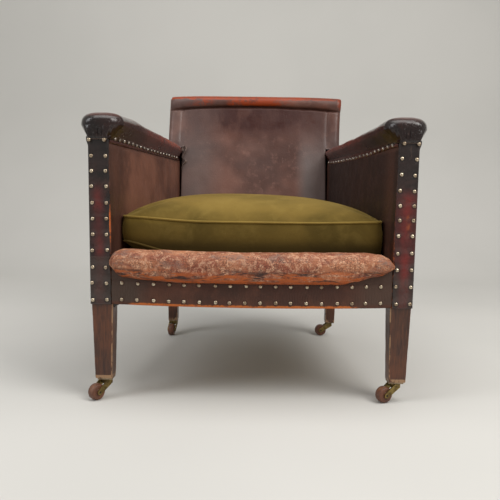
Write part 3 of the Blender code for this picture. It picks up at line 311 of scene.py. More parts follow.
class Finish:
    """A node material whose patterns run in the object's own coordinates."""

    def __init__(self, name):
        self.material = bpy.data.materials.new(name)
        self.material.use_nodes = True
        self.tree = self.material.node_tree
        self.shader = self.tree.nodes["Principled BSDF"]
        self.place = self.add("TexCoord").outputs["Object"]
        self.height = None

    def add(self, kind, **values):
        node = self.tree.nodes.new("ShaderNode" + kind)
        for key, value in values.items():
            node.inputs[key].default_value = value
        return node

    def scaled(self, stretch):
        if stretch is None:
            return self.place
        mapping = self.add("Mapping", Scale=stretch)
        self.tree.links.new(self.place, mapping.inputs["Vector"])
        return mapping.outputs["Vector"]

    def link(self, value, socket):
        if isinstance(value, bpy.types.NodeSocket):
            self.tree.links.new(value, socket)
        else:
            socket.default_value = value

    def noise(self, scale, detail=4.0, roughness=0.55, distortion=0.0, stretch=None):
        node = self.add("TexNoise", Scale=scale, Detail=detail, Roughness=roughness, Distortion=distortion)
        self.tree.links.new(self.scaled(stretch), node.inputs["Vector"])
        return node.outputs["Fac"]

    def cells(self, scale, feature="DISTANCE_TO_EDGE", stretch=None, warp=0.0):
        node = self.add("TexVoronoi", Scale=scale)
        node.feature = feature
        vector = self.scaled(stretch)
        if warp:
            wobble = self.add("TexNoise", Scale=scale * 0.8, Detail=3.0)
            self.tree.links.new(vector, wobble.inputs["Vector"])
            added = self.add("VectorMath")
            added.operation = "MULTIPLY_ADD"
            self.tree.links.new(wobble.outputs["Color"], added.inputs[0])
            added.inputs[1].default_value = (warp / scale,) * 3
            self.tree.links.new(vector, added.inputs[2])
            vector = added.outputs["Vector"]
        self.tree.links.new(vector, node.inputs["Vector"])
        return node.outputs["Distance"]

    def band(self, value, low, high, out_low=0.0, out_high=1.0):
        node = self.add("MapRange")
        node.interpolation_type = "SMOOTHSTEP"
        self.link(value, node.inputs["Value"])
        for key, number in (("From Min", low), ("From Max", high), ("To Min", out_low), ("To Max", out_high)):
            node.inputs[key].default_value = number
        return node.outputs["Result"]

    def axis(self, letter):
        node = self.add("SeparateXYZ")
        self.tree.links.new(self.place, node.inputs["Vector"])
        return node.outputs[letter]

    def painted(self, key):
        node = self.add("Attribute")
        node.attribute_name = key
        return node.outputs["Fac"]

    def sum(self, operation, a, b):
        node = self.add("Math")
        node.operation = operation
        self.link(a, node.inputs[0])
        self.link(b, node.inputs[1])
        return node.outputs["Value"]

    def mixed(self, share, a, b):
        node = self.add("Mix")
        node.data_type = "RGBA"
        self.link(share, node.inputs["Factor"])
        self.link(a, node.inputs[6])
        self.link(b, node.inputs[7])
        return node.outputs[2]

    def under(self, share, first, second):
        """Starts the base colour as a mix of two."""
        self.base = self.mixed(share, colour(first), colour(second))

    def over(self, share, code):
        """Lays another colour over the base colour."""
        self.base = self.mixed(share, self.base, colour(code))

    def times(self, a, b):
        return self.sum("MULTIPLY", a, b)

    def raised(self, value, depth):
        """Adds value times a depth in metres to the height that the bump follows."""
        step = self.times(value, depth)
        self.height = step if self.height is None else self.sum("ADD", self.height, step)

    def done(self, roughness, **plain):
        self.link(self.base, self.shader.inputs["Base Color"])
        self.link(roughness, self.shader.inputs["Roughness"])
        for key, number in plain.items():
            self.shader.inputs[key.replace("_", " ")].default_value = number
        if self.height is not None:
            bump = self.add("Bump", Strength=1.0, Distance=1.0)
            self.tree.links.new(self.height, bump.inputs["Height"])
            self.tree.links.new(bump.outputs["Normal"], self.shader.inputs["Normal"])
        return self.material


def leather(name, dark, middle, light, worn, rub, gloss=0.42, broad=7.0, coat=0.15, ruddy_and_shade="#5a241d",
            bloom_and_sheen="#757070", grain=0.00006, creases=0.00012, even=0.45):
    """Old hide: stains, fine grain, creases and scuffs, with painted wear, grime and painted shade, greying
    and painted reflection, and redness that on the inner arms is painted shade.
    """
    f = Finish(name)
    broad_stain = f.noise(broad, 3.0, 0.6)
    fine_stain = f.noise(45.0, 5.0, 0.65)
    f.under(f.band(broad_stain, 0.36, 0.62), dark, middle)
    f.over(f.band(fine_stain, 0.50, 0.78, 0.0, 0.65), light)
    grain_cells = f.cells(750.0, "F1")
    f.over(f.band(grain_cells, 0.25, 0.75, 0.0, 0.22), dark)
    scuff = f.band(f.noise(120.0, 6.0, 0.7, 0.6, (1.0, 1.0, 0.35)), 0.63, 0.72)
    scuff = f.times(scuff, f.band(f.noise(16.0, 2.0), 0.47, 0.60, 0.0, 0.7))
    f.over(scuff, rub)
    streaks = f.band(f.noise(30.0, 5.0, 0.65, 0.4, (1.0, 1.0, 0.45)), 0.34, 0.58, even, 1.0)
    # Redness where painted; on the inner arm leather its colour is a dark brown that paints shade.
    f.over(f.times(f.painted("ruddy_and_shade"), streaks), ruddy_and_shade)
    # Greying where painted: real greyness on the posts and border, and a painted grey reflection on the lower
    # inner back.
    f.over(f.times(f.painted("bloom_and_sheen"), 0.8), bloom_and_sheen)
    worn_share = f.times(f.painted("wear"), f.band(f.noise(85.0, 6.0, 0.7), 0.36, 0.60, 0.35, 1.0))
    f.over(f.band(worn_share, 0.12, 0.62), worn)
    # Darkening where painted: real grime in places, and painted shade round nails, in creases, under
    # overhangs and in corners.
    f.over(f.times(f.painted("dirt_and_shade"), 0.85), dark)
    folds = f.cells(95.0, warp=0.9)
    f.raised(f.band(folds, 0.0, 0.09), creases)
    f.raised(f.band(grain_cells, 0.1, 0.7), -grain)
    f.raised(f.noise(300.0, 3.0), grain)
    shine = f.band(f.noise(28.0, 4.0), 0.3, 0.7, gloss - 0.08, gloss + 0.14)
    return f.done(shine, Coat_Weight=coat, Coat_Roughness=0.14, Specular_IOR_Level=0.25)


def lip_leather():
    """The seat front's hide: pink-tan where rubbed, orange where split, with dark old finish in between."""
    f = Finish("lip_leather")
    run = (0.45, 1.0, 1.6)
    broad_stain = f.noise(19.0, 5.0, 0.65, 0.3, run)
    f.under(f.band(broad_stain, 0.38, 0.62), "#884833", "#b0714f")
    pale = f.noise(105.0, 7.0, 0.78, 0.5, (0.9, 1.0, 0.8))
    f.over(f.band(pale, 0.46, 0.60, 0.0, 0.75), "#dbaa89")
    grey = f.times(f.band(f.noise(30.0, 5.0, 0.65, 0.4, run), 0.50, 0.62), f.band(pale, 0.35, 0.6))
    f.over(f.times(grey, 0.75), "#6e5752")
    flakes = f.band(f.cells(260.0, warp=1.3, stretch=(0.8, 1.0, 1.2)), 0.0, 0.11, 1.0, 0.0)
    flakes = f.times(flakes, f.band(f.noise(30.0, 4.0, 0.7), 0.36, 0.62, 0.15, 1.0))
    f.over(f.times(flakes, 0.95), "#43221a")
    low = f.painted("wear")
    stripe = f.noise(85.0, 7.0, 0.75, 0.5, (0.20, 0.6, 1.4))
    split = f.times(f.band(stripe, 0.47, 0.57), f.band(low, 0.15, 0.70))
    dark_patch = f.times(f.band(f.noise(34.0, 6.0, 0.75, 0.6, (0.35, 1.0, 1.4)), 0.45, 0.55),
                       f.band(low, 0.12, 0.50))
    f.over(f.times(dark_patch, 0.95), "#35201b")
    f.over(split, "#b85c26")
    edge = f.band(low, 0.72, 0.95)
    edge = f.times(edge, f.band(f.noise(120.0, 6.0, 0.75, 0.4, (0.35, 1.0, 1.0)), 0.40, 0.54))
    f.over(edge, "#b05522")
    # Painted shadow: the rear of the roll is darkened as the cushion's shadow.
    f.over(f.times(f.painted("dirt_and_shade"), 0.9), "#2e1d19")
    f.raised(f.band(f.cells(260.0, warp=1.3, stretch=(0.8, 1.0, 1.2)), 0.0, 0.10), 0.00035)
    f.raised(f.band(stripe, 0.44, 0.62), -0.0003)
    f.raised(f.noise(260.0, 5.0, 0.7), 0.0002)
    shine = f.band(pale, 0.35, 0.7, 0.44, 0.64)
    return f.done(shine, Coat_Weight=0.06, Coat_Roughness=0.35, Specular_IOR_Level=0.3)


def velvet():
    f = Finish("olive_velvet")
    nap = f.noise(5.0, 3.0, 0.6, 0.5)
    streak = f.noise(22.0, 5.0, 0.65, 0.6)
    f.under(f.band(nap, 0.34, 0.66), "#554413", "#745d25")
    f.over(f.band(streak, 0.42, 0.72, 0.0, 0.55), "#867039")
    pile = f.noise(1500.0, 2.0, 0.6)
    f.over(f.band(pile, 0.35, 0.7, 0.0, 0.35), "#463812")
    lint = f.band(f.noise(420.0, 2.0, 0.5), 0.745, 0.78)
    f.over(f.times(lint, 0.5), "#b9a672")
    f.over(f.times(f.painted("wear"), 0.45), "#a58a45")
    # Darkening where painted: painted shade on the cushion's lower sides, on its front below the upper seam,
    # and on the lower cord.
    f.over(f.times(f.painted("dirt_and_shade"), 0.85), "#2c2006")
    f.raised(pile, 0.00025)
    f.raised(streak, 0.0006)
    f.shader.inputs["Sheen Tint"].default_value = colour("#c9b068")
    return f.done(f.band(streak, 0.3, 0.7, 0.78, 0.92), Sheen_Weight=0.35, Sheen_Roughness=0.45,
                  Specular_IOR_Level=0.2)


def wood(name, dark, middle, light, gloss, bare):
    """Polished or bare timber with upright grain, and pale arrises where the piece is painted for them."""
    f = Finish(name)
    grain = f.noise(34.0, 8.0, 0.68, 1.2, (7.0, 7.0, 0.42))
    pores = f.noise(260.0, 3.0, 0.6, 0.3, (3.0, 3.0, 0.16))
    broad_stain = f.noise(9.0, 3.0)
    f.under(f.band(grain, 0.34, 0.66), dark, middle)
    f.over(f.band(broad_stain, 0.48, 0.72, 0.0, 0.6), light)
    f.over(f.band(pores, 0.56, 0.70, 0.0, 0.6), dark)
    broken = f.band(f.noise(60.0, 5.0, 0.7, 0.0, (1.0, 1.0, 0.5)), 0.34, 0.58)
    arris = f.times(f.painted("wear"), broken)
    f.over(f.band(arris, 0.35, 0.9, 0.0, 0.75), bare)
    f.over(f.times(f.painted("dirt_and_shade"), 0.7), dark)
    f.raised(pores, -0.00012)
    f.raised(grain, 0.0001)
    return f.done(f.band(grain, 0.3, 0.7, gloss, gloss + 0.15), Coat_Weight=0.12, Coat_Roughness=0.3)


def metal(name, bright, dull, stain, gloss, rusty=0.35):
    """Old metal: polished high spots, brown tarnish and pitted stains."""
    f = Finish(name)
    tarnish = f.noise(95.0, 5.0, 0.65, 0.3)
    f.under(f.band(tarnish, 0.36, 0.66), bright, dull)
    stains = f.band(f.noise(240.0, 5.0, 0.7), 0.54, 0.68, 0.0, rusty)
    f.over(stains, stain)
    f.raised(f.noise(600.0, 4.0, 0.7), 0.00008)
    return f.done(f.band(tarnish, 0.3, 0.7, gloss, gloss + 0.25), Metallic=1.0)


def woven(name, pale, dark, pitch, gap=0.12, stripe=None):
    """Plain weave: two sets of threads that pass over each other, in a horizontal plane."""
    f = Finish(name)
    waves = []
    for letter in ("X", "Y"):
        waves.append(f.sum("SINE", f.times(f.axis(letter), math.tau / pitch), 0.0))
    over = f.times(waves[0], waves[1])
    threads = f.sum("MAXIMUM", f.sum("ABSOLUTE", waves[0], 0.0), f.sum("ABSOLUTE", waves[1], 0.0))
    f.under(f.band(threads, gap, 0.85), dark, pale)
    f.over(f.band(f.noise(180.0, 5.0, 0.7), 0.42, 0.7, 0.0, 0.5), dark)
    if stripe:
        f.over(f.band(f.noise(7.0, 2.0), 0.45, 0.6, 0.0, 0.35), stripe)
    f.raised(over, pitch * 0.12)
    f.raised(f.noise(900.0, 3.0), 0.00015)
    return f.done(0.9, Specular_IOR_Level=0.15)


post_leather = leather("post_leather", "#1b1615", "#332523", "#48302a", "#c0622a", "#7e6458", gloss=0.26,
                       coat=0.55, bloom_and_sheen="#4a3d36", broad=16.0, ruddy_and_shade="#6b2420")
border_leather = leather("border_leather", "#3d2820", "#5c3a2c", "#6d4433", "#ba632a", "#6d4a3c", gloss=0.48,
                         coat=0.06, broad=11.0, ruddy_and_shade="#4a2a20", bloom_and_sheen="#423a33")
# On the inner arm leather the colour given for redness is dark brown and paints shade.
arm_leather = leather("arm_leather", "#593a2f", "#7c5343", "#916350", "#8f4a2e", "#8b6a5c", gloss=0.42,
                      coat=0.08, broad=6.0, ruddy_and_shade="#2e201c", even=0.85)
roll_leather = leather("roll_leather", "#17100f", "#2b1a18", "#42231e", "#9a4226", "#86645a", gloss=0.15,
                       coat=0.50, broad=9.0, ruddy_and_shade="#6e2a1f", creases=0.0002)
# On the inner back the grey given for greying paints a reflection.
back_leather = leather("back_leather", "#4c312a", "#7d574b", "#886256", "#8c350f", "#94786c", gloss=0.40,
                       coat=0.12, broad=4.5, ruddy_and_shade="#37140d", bloom_and_sheen="#6e6a69", even=0.80)
outer_leather = leather("outer_leather", "#2c1b15", "#482b20", "#5a3728", "#8d4a2b", "#7a574a", gloss=0.44,
                        coat=0.10, broad=5.0)
hem_leather = leather("hem_leather", "#5a4a44", "#85736a", "#9c897f", "#a08a7c", "#b39f93", gloss=0.45,
                      coat=0.05, broad=30.0)
lip_hide = lip_leather()
cushion_velvet = velvet()
mahogany = wood("mahogany", "#2e150c", "#57301a", "#743f1f", 0.32, "#a88460")
beech = wood("beech", "#7a5634", "#a37a50", "#b68e62", 0.62, "#c7a27a")
wheel_wood = wood("wheel_wood", "#43251a", "#74452c", "#93603f", 0.45, "#a67a5d")
brass_nail = metal("nail_brass", "#cdbfa8", "#8a7661", "#54402f", 0.20, 0.55)
dull_nail = metal("nail_dull", "#b9aea4", "#7d7268", "#453730", 0.24, 0.5)
brass = metal("brass", "#94804e", "#665638", "#3e3020", 0.36, 0.7)
iron = metal("iron", "#5a5048", "#2e2723", "#5c3320", 0.48, 0.6)
plate_metal = metal("plate_metal", "#a3927a", "#776652", "#4b3426", 0.42, 0.5)
steel = metal("spring_steel", "#7d746c", "#4c4038", "#5f3a25", 0.40, 0.5)
hessian = woven("hessian_cloth", "#a58a5f", "#6b5435", 0.0022)
webbing = woven("jute_webbing", "#b39a6f", "#7b6542", 0.0034, stripe="#7a4a35")
deck_cloth = woven("deck_cloth", "#8f8064", "#5f523c", 0.0014)


# Nails and the leather that they hold

NAIL_PITCH = 0.0328
NAIL_HEIGHTS = [0.2142] + [0.2507 + NAIL_PITCH * i for i in range(10)]
NAIL_COLUMNS = (0.3305, 0.3005)
NAIL_RADIUS = 0.0042
NAIL_RISE = 0.0030
# How far each front nail sits from its column towards the post's outside, and above its row, in millimetres.
# One pair for the outer and one for the inner column, from the lowest row up.
NAIL_DRIFT = {
    "left": (((0.4, -0.5), (0.8, 0.4)), ((1.0, -0.7), (1.2, -1.9)), ((-0.9, -0.5), (2.0, -1.2)),
             ((-0.7, 1.2), (-1.7, 2.4)), ((-2.4, 1.9), (-0.7, 1.7)), ((-2.9, 1.2), (-1.2, 1.7)),
             ((-2.4, 1.2), (-1.7, 1.2)), ((-1.7, 2.4), (-2.1, 2.4)), ((-2.6, 0.7), (-1.4, 1.2)),
             ((-2.6, -1.2), (-1.7, -1.2)), ((0.5, -1.8), (-0.6, -1.8))),
    "right": (((-0.5, 0.3), (0.6, -0.4)), ((-0.7, -0.7), (-1.9, 0.0)), ((-1.2, 2.2), (-0.7, 1.7)),
              ((-1.9, 4.3), (-0.7, 3.1)), ((-2.4, 7.0), (-1.0, 7.0)), ((-1.9, 6.7), (-0.2, 6.5)),
              ((-1.7, 3.6), (-0.5, 3.6)), ((-2.9, 0.7), (-2.4, 1.7)), ((-3.4, 0.0), (-0.7, 1.7)),
              ((-1.2, 0.0), (-1.2, 1.4)), ((0.5, -1.8), (0.9, -0.9))),
}
BORDER_COLUMNS = 18
BORDER_ROWS = (0.2163, 0.2507)
BORDER_DRIFT = (
    (6.1, 5.7, 8.6, 8.1, 7.4, 6.9, 7.4, 4.2, 2.5, 1.7, 0.7, -1.2, -1.2, -1.7, -1.2, -3.2, -6.9, -7.4),
    (6.1, 7.5, 8.5, 8.9, 7.3, 5.5, 6.9, 5.5, 5.6, 1.6, 0.8, -0.6, 0.0, -2.6, -2.0, -4.3, -6.3, -7.7),
)
BORDER_HALF = POST_INNER_X - GAP
border_nails = [((2 * i + 1) / BORDER_COLUMNS - 1.0) * BORDER_HALF for i in range(BORDER_COLUMNS)]


def side_swell(z):
    """How far the leather on the outside of the arm stands out beyond the post's own width."""
    return mix(0.0028, 0.0008, (z - COVER_BOTTOM) / (ARM_TOP - COVER_BOTTOM))


def top_flare(y, z):
    """How far the leather at the arm's front flares outward just under the roll."""
    return 0.0038 * smooth((z - 0.531) / 0.015) * smooth((0.075 - y) / 0.060)


def post_nails(side):
    """Drawn (x, z) of each nail on a post."""
    spots = []
    for row, pair in zip(NAIL_HEIGHTS, NAIL_DRIFT[side]):
        for column, (out, up) in zip(NAIL_COLUMNS, pair):
            spots.append((column + out / 1000, row + up / 1000))
    return spots


def facing_depth(side, x, z):
    """Depth of the post leather's face; x is drawn from the middle before the post's lean is added."""
    width = POST_WIDTH + side_swell(z)
    u = (x - POST_INNER_X) / width
    held = 0.0
    for nail_x, nail_z in post_nails(side):
        if abs(z - nail_z) < 0.025:
            held = max(held, hump(math.hypot(x - nail_x, z - nail_z), 0.0072))
    edge = min(u, 1.0 - u) * width
    puff = 0.0020 * math.sin(math.pi * clamp(u)) ** 0.7
    row_wave = 0.5 + 0.5 * math.cos(math.tau * (z - NAIL_HEIGHTS[1]) / NAIL_PITCH)
    puff *= mix(1.0, 0.62, row_wave)
    depth = -puff * (1.0 - 0.95 * held) + rounding(edge, 0.0035)
    depth += 0.0005 * rough(x, z, 0.0, 95.0, 3.0) + 0.0007 * rough(x, z, 0.0, 40.0, 8.0)
    if z < SEAM_HEIGHT:
        depth -= 0.0007 * smooth((SEAM_HEIGHT - z) / 0.0012)
    return depth


def build_facing(side, sign):
    us = spread(0.0, 1.0, 37)
    vs = spread(COVER_BOTTOM, FACING_TOP, 190)

    def across(u, z):
        return POST_INNER_X + (POST_WIDTH + side_swell(z) + top_flare(0.0, z)) * u

    def front(u, v):
        x = across(u, v)
        return world(sign * (x + flare(v)), facing_depth(side, x, v) + rounding(FACING_TOP - v, 0.0015), v)

    def back(u, v):
        return world(sign * (across(u, v) + flare(v)), LEATHER, v)

    def wear(co):
        x = abs(co.x) - flare(co.z)
        inner = smooth(1.0 - (x - POST_INNER_X) / 0.0030)
        if side == "left":
            spot = smooth(1.0 - abs(co.z - 0.375) / 0.055)
            return inner * (0.30 + 0.9 * spot)
        low = smooth(1.0 - (x - POST_INNER_X) / 0.009) * smooth((0.37 - co.z) / 0.05)
        middle = hump(x - 0.3175, 0.0065) * smooth(1.0 - abs(co.z - 0.385) / 0.075)
        spots = 0.6 + 0.8 * rough(co.x * 2.0, co.z, 0, 70.0, 2.0)
        return inner * 0.25 + 0.30 * low * (0.5 + rough(co.x, co.z, 0, 150.0, 5.0)) + 0.42 * middle * spots

    def ruddy_and_shade(co):
        x = abs(co.x) - flare(co.z)
        middle = hump(x - 0.3150, 0.0105)
        if side == "left":
            upper = 0.35 + 0.65 * smooth((co.z - 0.300) / 0.02)
            return 0.75 * middle * smooth((0.470 - co.z) / 0.05) * upper
        return 0.95 * mix(middle, 1.0, 0.35 * smooth((co.z - 0.29) / 0.02)) * smooth((0.462 - co.z) / 0.035)

    def bloom_and_sheen(co):
        if side == "left":
            seam = hump(co.z - 0.3035 - 0.0008 * rough(co.x, 0.0, 0.0, 90.0), 0.0011)
            return max(seam, 0.45 * smooth((0.3035 - co.z) / 0.003))
        return 0.45 * smooth((0.285 - co.z) / 0.03)

    # Painted shade: a dark ring round each nail, partly grime and partly painted shade, and the top of the
    # post leather darker as painted shade under the arm roll.
    def dirt_and_shade(co):
        x = abs(co.x) - flare(co.z)
        near = min(math.hypot(x - nail_x, co.z - nail_z) for nail_x, nail_z in post_nails(side))
        ring = hump(near - NAIL_RADIUS, 0.0016)
        upper = 0.55 * smooth((co.z - 0.455) / 0.05)
        return min(0.75 * ring + upper, 0.9)

    verts, faces = slab(us, vs, front, back)
    make_piece("post_leather_" + side, verts, faces, post_leather, replaces=("post_facing_" + side,),
               slot="post_leather", paint={"wear": wear, "dirt_and_shade": dirt_and_shade, "ruddy_and_shade": ruddy_and_shade, "bloom_and_sheen": bloom_and_sheen})
    nails = []
    for x, z in post_nails(side):
        depth = facing_depth(side, x, z) + 0.0002
        if z > 0.54:
            depth = HEM_DEPTH - 0.0006
        lean = Vector((0.10 * rough(z, x, 1.0, 500.0, sign), -1.0, 0.12 * rough(x, z, 1.0, 500.0)))
        nails.append(dome(world(sign * (x + flare(z)), depth, z), lean, NAIL_RADIUS, NAIL_RISE))
    make_piece("post_nails_" + side, *merge(nails), brass_nail, slot="brass")


def border_depth(x, z):
    held = 0.0
    for nail in border_nails:
        if abs(x - nail) < 0.02:
            for row in BORDER_ROWS:
                held = max(held, hump(math.hypot(x - nail, z - row), 0.0065))
    up = (z - COVER_BOTTOM) / (BORDER_TOP - COVER_BOTTOM)
    puff = 0.0013 * math.sin(math.pi * clamp(up)) ** 0.6
    depth = -puff * (1.0 - 0.9 * held)
    gather = hump(z - 0.2255, 0.010) + 0.4 * hump(z - 0.243, 0.006)
    waver = 0.6 + 0.8 * rough(x, 0.0, 0.0, 28.0, 4.0)
    depth += 0.00065 * gather * waver * math.sin(math.tau * x / 0.0057 + 3.0 * rough(x, z, 0.0, 60.0))
    depth += 0.0005 * rough(x, z, 0.0, 70.0, 9.0)
    return depth - bow(x) + rounding(z - COVER_BOTTOM, 0.0018)


def build_border():
    us = spread(-BORDER_HALF, BORDER_HALF, 420)
    vs = spread(COVER_BOTTOM, BORDER_TOP, 36) + spread(BORDER_TOP + 0.003, 0.286, 6)

    def front(u, v):
        return world(u, border_depth(u, v), v)

    def back(u, v):
        return world(u, LEATHER - bow(u), v)

    def wear(co):
        edge = smooth(1.0 - (co.z - COVER_BOTTOM) / 0.0085)
        along = smooth((co.x + 0.262) / 0.03) * smooth((0.232 - co.x) / 0.04)
        return edge * (0.25 + 1.1 * along)

    # Painted shade: a dark ring round each nail, partly grime and partly painted shade, and the top of the
    # border darker as painted shade under the seat front roll.
    def dirt_and_shade(co):
        ring = 0.0
        for row, drift in zip(BORDER_ROWS, BORDER_DRIFT):
            near = min(abs(co.x - nail - along / 1000) for nail, along in zip(border_nails, drift))
            ring = max(ring, hump(math.hypot(near, co.z - row) - NAIL_RADIUS, 0.0016))
        return min(0.7 * ring + 0.45 * smooth((co.z - 0.2515) / 0.004), 0.9)

    def bloom_and_sheen(co):
        ends = max(smooth((-co.x - 0.20) / 0.05), 0.8 * smooth((co.x - 0.19) / 0.06))
        return 0.85 * ends * smooth((co.z - COVER_BOTTOM - 0.004) / 0.006)

    def ruddy_and_shade(co):
        return 0.35 + 0.35 * rough(co.x, 0.0, co.z, 26.0, 9.0)

    verts, faces = slab(us, vs, front, back)
    make_piece("border_leather", verts, faces, border_leather, replaces=("front_border",),
               slot="border_leather", paint={"wear": wear, "dirt_and_shade": dirt_and_shade, "bloom_and_sheen": bloom_and_sheen, "ruddy_and_shade": ruddy_and_shade})
    nails = []
    for number, column in enumerate(border_nails):
        for row, drift in zip(BORDER_ROWS, BORDER_DRIFT):
            x = column + drift[number] / 1000
            slope = 2 * BOW * x / BORDER_HALF**2
            dx = 0.0011 * rough(x, row, 0.0, 800.0, 1.0)
            dz = 0.0011 * rough(row, x, 0.0, 650.0, 6.0)
            place = world(x + dx, border_depth(x, row) + 0.0002, row + dz)
            outward = Vector((slope, -1.0, 0.08 * rough(x, row, 2.0, 400.0)))
            nails.append(dome(place, outward, NAIL_RADIUS, NAIL_RISE))
    make_piece("border_nails", *merge(nails), brass_nail, slot="brass")


# Arms

ROLL_BOTTOM = ARM_TOP + GAP
# Height of each roll's top above its bottom, as (depth, height) pairs from the front to the rear.
ROLL_TOPS = {
    "left": ((0.0, 0.0600), (0.03, 0.0612), (0.143, 0.0640), (0.226, 0.0595), (0.40, 0.0560), (0.55, 0.0505),
             (0.612, 0.0465)),
    "right": ((0.0, 0.0585), (0.03, 0.0592), (0.07, 0.0565), (0.12, 0.0530), (0.205, 0.0505), (0.32, 0.0470),
              (0.455, 0.0434), (0.612, 0.0412)),
}
HEM_HEIGHT = 0.5462
HEM_DEPTH = -0.0034


def roll_size(side, y):
    """Middle, half width, waist and top of the arm roll's section at a depth along the arm."""
    back = min(max(y, 0.0) / REAR_FRONT, 1.0)
    half = mix(0.0438, 0.0345, back)
    top = ROLL_BOTTOM + table(max(y, 0.0), ROLL_TOPS[side])
    waist = mix(ROLL_BOTTOM, top, 0.575)
    middle = TIMBER_HALF - mix(0.0214, 0.0124, back)
    return middle, half, waist, top


def roll_section(side, turn, y):
    """Offset (across, up) from the section's middle: a bulb that stands on the width of the post."""
    middle, half, waist, top = roll_size(side, y)
    sign = 1.0 if math.cos(turn) > 0 else -1.0
    foot = POST_HALF - middle + 0.0003 + top_flare(y, 0.55) if sign > 0 else middle - POST_INNER_X - 0.0004
    from_bottom = abs((turn + math.pi / 2 + math.pi) % math.tau - math.pi)
    flat = 0.95
    if from_bottom < flat:
        return sign * foot * from_bottom / flat, ROLL_BOTTOM - waist
    if from_bottom < math.pi / 2:
        t = (from_bottom - flat) / (math.pi / 2 - flat)
        across = foot + (half - foot) * (0.5 * smooth(t) + 0.5 * t * t)
        return sign * across, (ROLL_BOTTOM - waist) * (1.0 - t)
    return sign * half * abs(math.cos(turn)) ** 0.70, (top - waist) * math.sin(turn) ** 0.74


def roll_fold(across, y, z):
    """Gathers that fan out from the nail row and die away up the front, from -1 to 1."""
    low = smooth((0.588 - z) / 0.026)
    fan = math.atan2(across, z - 0.506)
    near_front = smooth((0.050 - y) / 0.036)
    fold = 0.62 * math.cos(78 * fan + 0.8 + 2.5 * rough(across, z, 0, 45.0)) + 0.38 * math.cos(47 * fan + 2.1)
    return low * near_front * fold


def roll_point(side, s, turn):
    """Point of an arm roll: s from -1 at the front's middle to 0 at its rim, then to 1 at the rear."""
    rim = 0.016
    y = rim if s < 0 else mix(rim, REAR_FRONT, s)
    across, rise = roll_section(side, turn, y)
    middle, half, waist = roll_size(side, y)[:3]
    scale = 1.0
    if s < 0:
        low_share = smooth(-rise / (waist - ROLL_BOTTOM))
        hem = min(0.93, (waist - HEM_HEIGHT) / max(-rise, 0.0001)) if rise < 0 else 0.93
        run = (s + 1.0) / 0.78
        scale = hem * run**0.85 if run < 1.0 else mix(hem, 1.0, (run - 1.0) * 0.78 / 0.22)
        y = -0.0075 + (rim + 0.0075) * scale ** mix(3.4, 11.0, low_share)
    across *= scale
    z = waist + rise * scale
    x = middle + across
    fold = roll_fold(across, y, z)
    crinkle = 0.0012 * fold
    soft = 0.0010 * rough(x, y, z, 16.0, 11.0) + 0.0005 * rough(x, y, z, 55.0, 2.0)
    if s < 0:
        calm = smooth((z - HEM_HEIGHT - 0.001) / 0.010)
        y -= (crinkle + soft) * calm
        if z < HEM_HEIGHT - 0.0001:
            y = max(y, 0.0042)
        elif z < HEM_HEIGHT + 0.006:
            y = mix(min(y, mix(HEM_DEPTH, y, smooth((abs(across) - 0.015) / 0.009))), y, calm)
    else:
        outward = math.copysign(min(abs(across) / half, 1.0), across)
        x += outward * (crinkle * 0.8 + soft) * smooth((z - ROLL_BOTTOM - 0.004) / 0.010)
        z += soft * smooth((z - waist) / 0.01)
    if s >= 1.0:
        y = stile_front(z) - GAP
    return x, y, z


def build_arm_roll(side, sign):
    cap = spread(-0.99, -0.22, 20) + [-0.205, -0.19, -0.14, -0.08, -0.03]
    stations = cap + [0.0, 0.006, 0.013, 0.022, 0.033, 0.046] + spread(0.06, 1.0, 44)
    sides = 256
    rings = []
    for s in stations:
        points = [roll_point(side, s, math.tau * k / sides) for k in range(sides)]
        rings.append([world(sign * side_x(x, y, z), y, z) for x, y, z in points])
    verts, faces = loft(rings)

    def wear(co):
        y = co.y + DRAW_TO_WORLD
        top = smooth((co.z - 0.566) / 0.016) * smooth((y - 0.24) / 0.20)
        patch = 0.72 if side == "left" else 0.35
        return patch * top * (0.75 + 0.7 * rough(co.x, co.y, co.z, 20.0, 3.0))

    def ruddy_and_shade(co):
        y = co.y + DRAW_TO_WORLD
        top = smooth((co.z - 0.556) / 0.018)
        rear = smooth((y - 0.12) / 0.22) * (0.45 + 0.55 * top)
        crown = 0.45 * smooth((co.z - 0.590) / 0.008)
        return min(rear * 0.95 + crown, 1.0)

    # Painted shade in the grooves of the gathers and on the roll's underside below its bulge.
    def dirt_and_shade(co):
        y = co.y + DRAW_TO_WORLD
        across = abs(co.x) - flare(co.z) + shift(y) - roll_size(side, y)[0]
        grooves = max(-roll_fold(across, y, co.z), 0.0) * 0.8
        return min(grooves + 0.9 * smooth((0.5515 - co.z) / 0.004), 1.0)

    make_piece("arm_roll_leather_" + side, verts, faces, roll_leather, replaces=("arm_roll_" + side,),
               slot="arm_leather", paint={"wear": wear, "dirt_and_shade": dirt_and_shade, "ruddy_and_shade": ruddy_and_shade})
    hem = []
    for x in spread(0.2945, 0.3350, 40):
        edge = rounding(min(x - 0.2925, 0.3373 - x), 0.004)
        z = HEM_HEIGHT - 0.0002 + 0.0005 * rough(x, 0.0, sign, 120.0)
        hem.append(world(sign * (x + flare(z)), HEM_DEPTH - 0.0002 + edge, z))
    verts, faces = tube(hem, 0.0008, 8)
    make_piece("arm_roll_hem_" + side, verts, faces, hem_leather, slot="arm_leather",
               paint={"wear": 0.0, "dirt_and_shade": 0.0})


PANEL_LOW = 0.2645


def arm_panel_x(y, z):
    """Drawn x of the inner arm leather."""
    up = clamp((z - PANEL_LOW) / (ARM_TOP - PANEL_LOW))
    along = clamp((y - 0.04) / 0.56)
    swell = 0.0045 * math.sin(math.pi * up) ** 0.8 * math.sin(math.pi * along) ** 0.7
    tuck = 0.0016 * smooth((z - (ARM_TOP - 0.010)) / 0.010)
    wave = 0.0009 * rough(0.0, y, z, 17.0, 6.0) + 0.0006 * rough(0.0, y * 2.2, z * 0.4, 30.0, 12.0)
    return POST_INNER_X - swell + tuck + wave * smooth((y - 0.01) / 0.03)


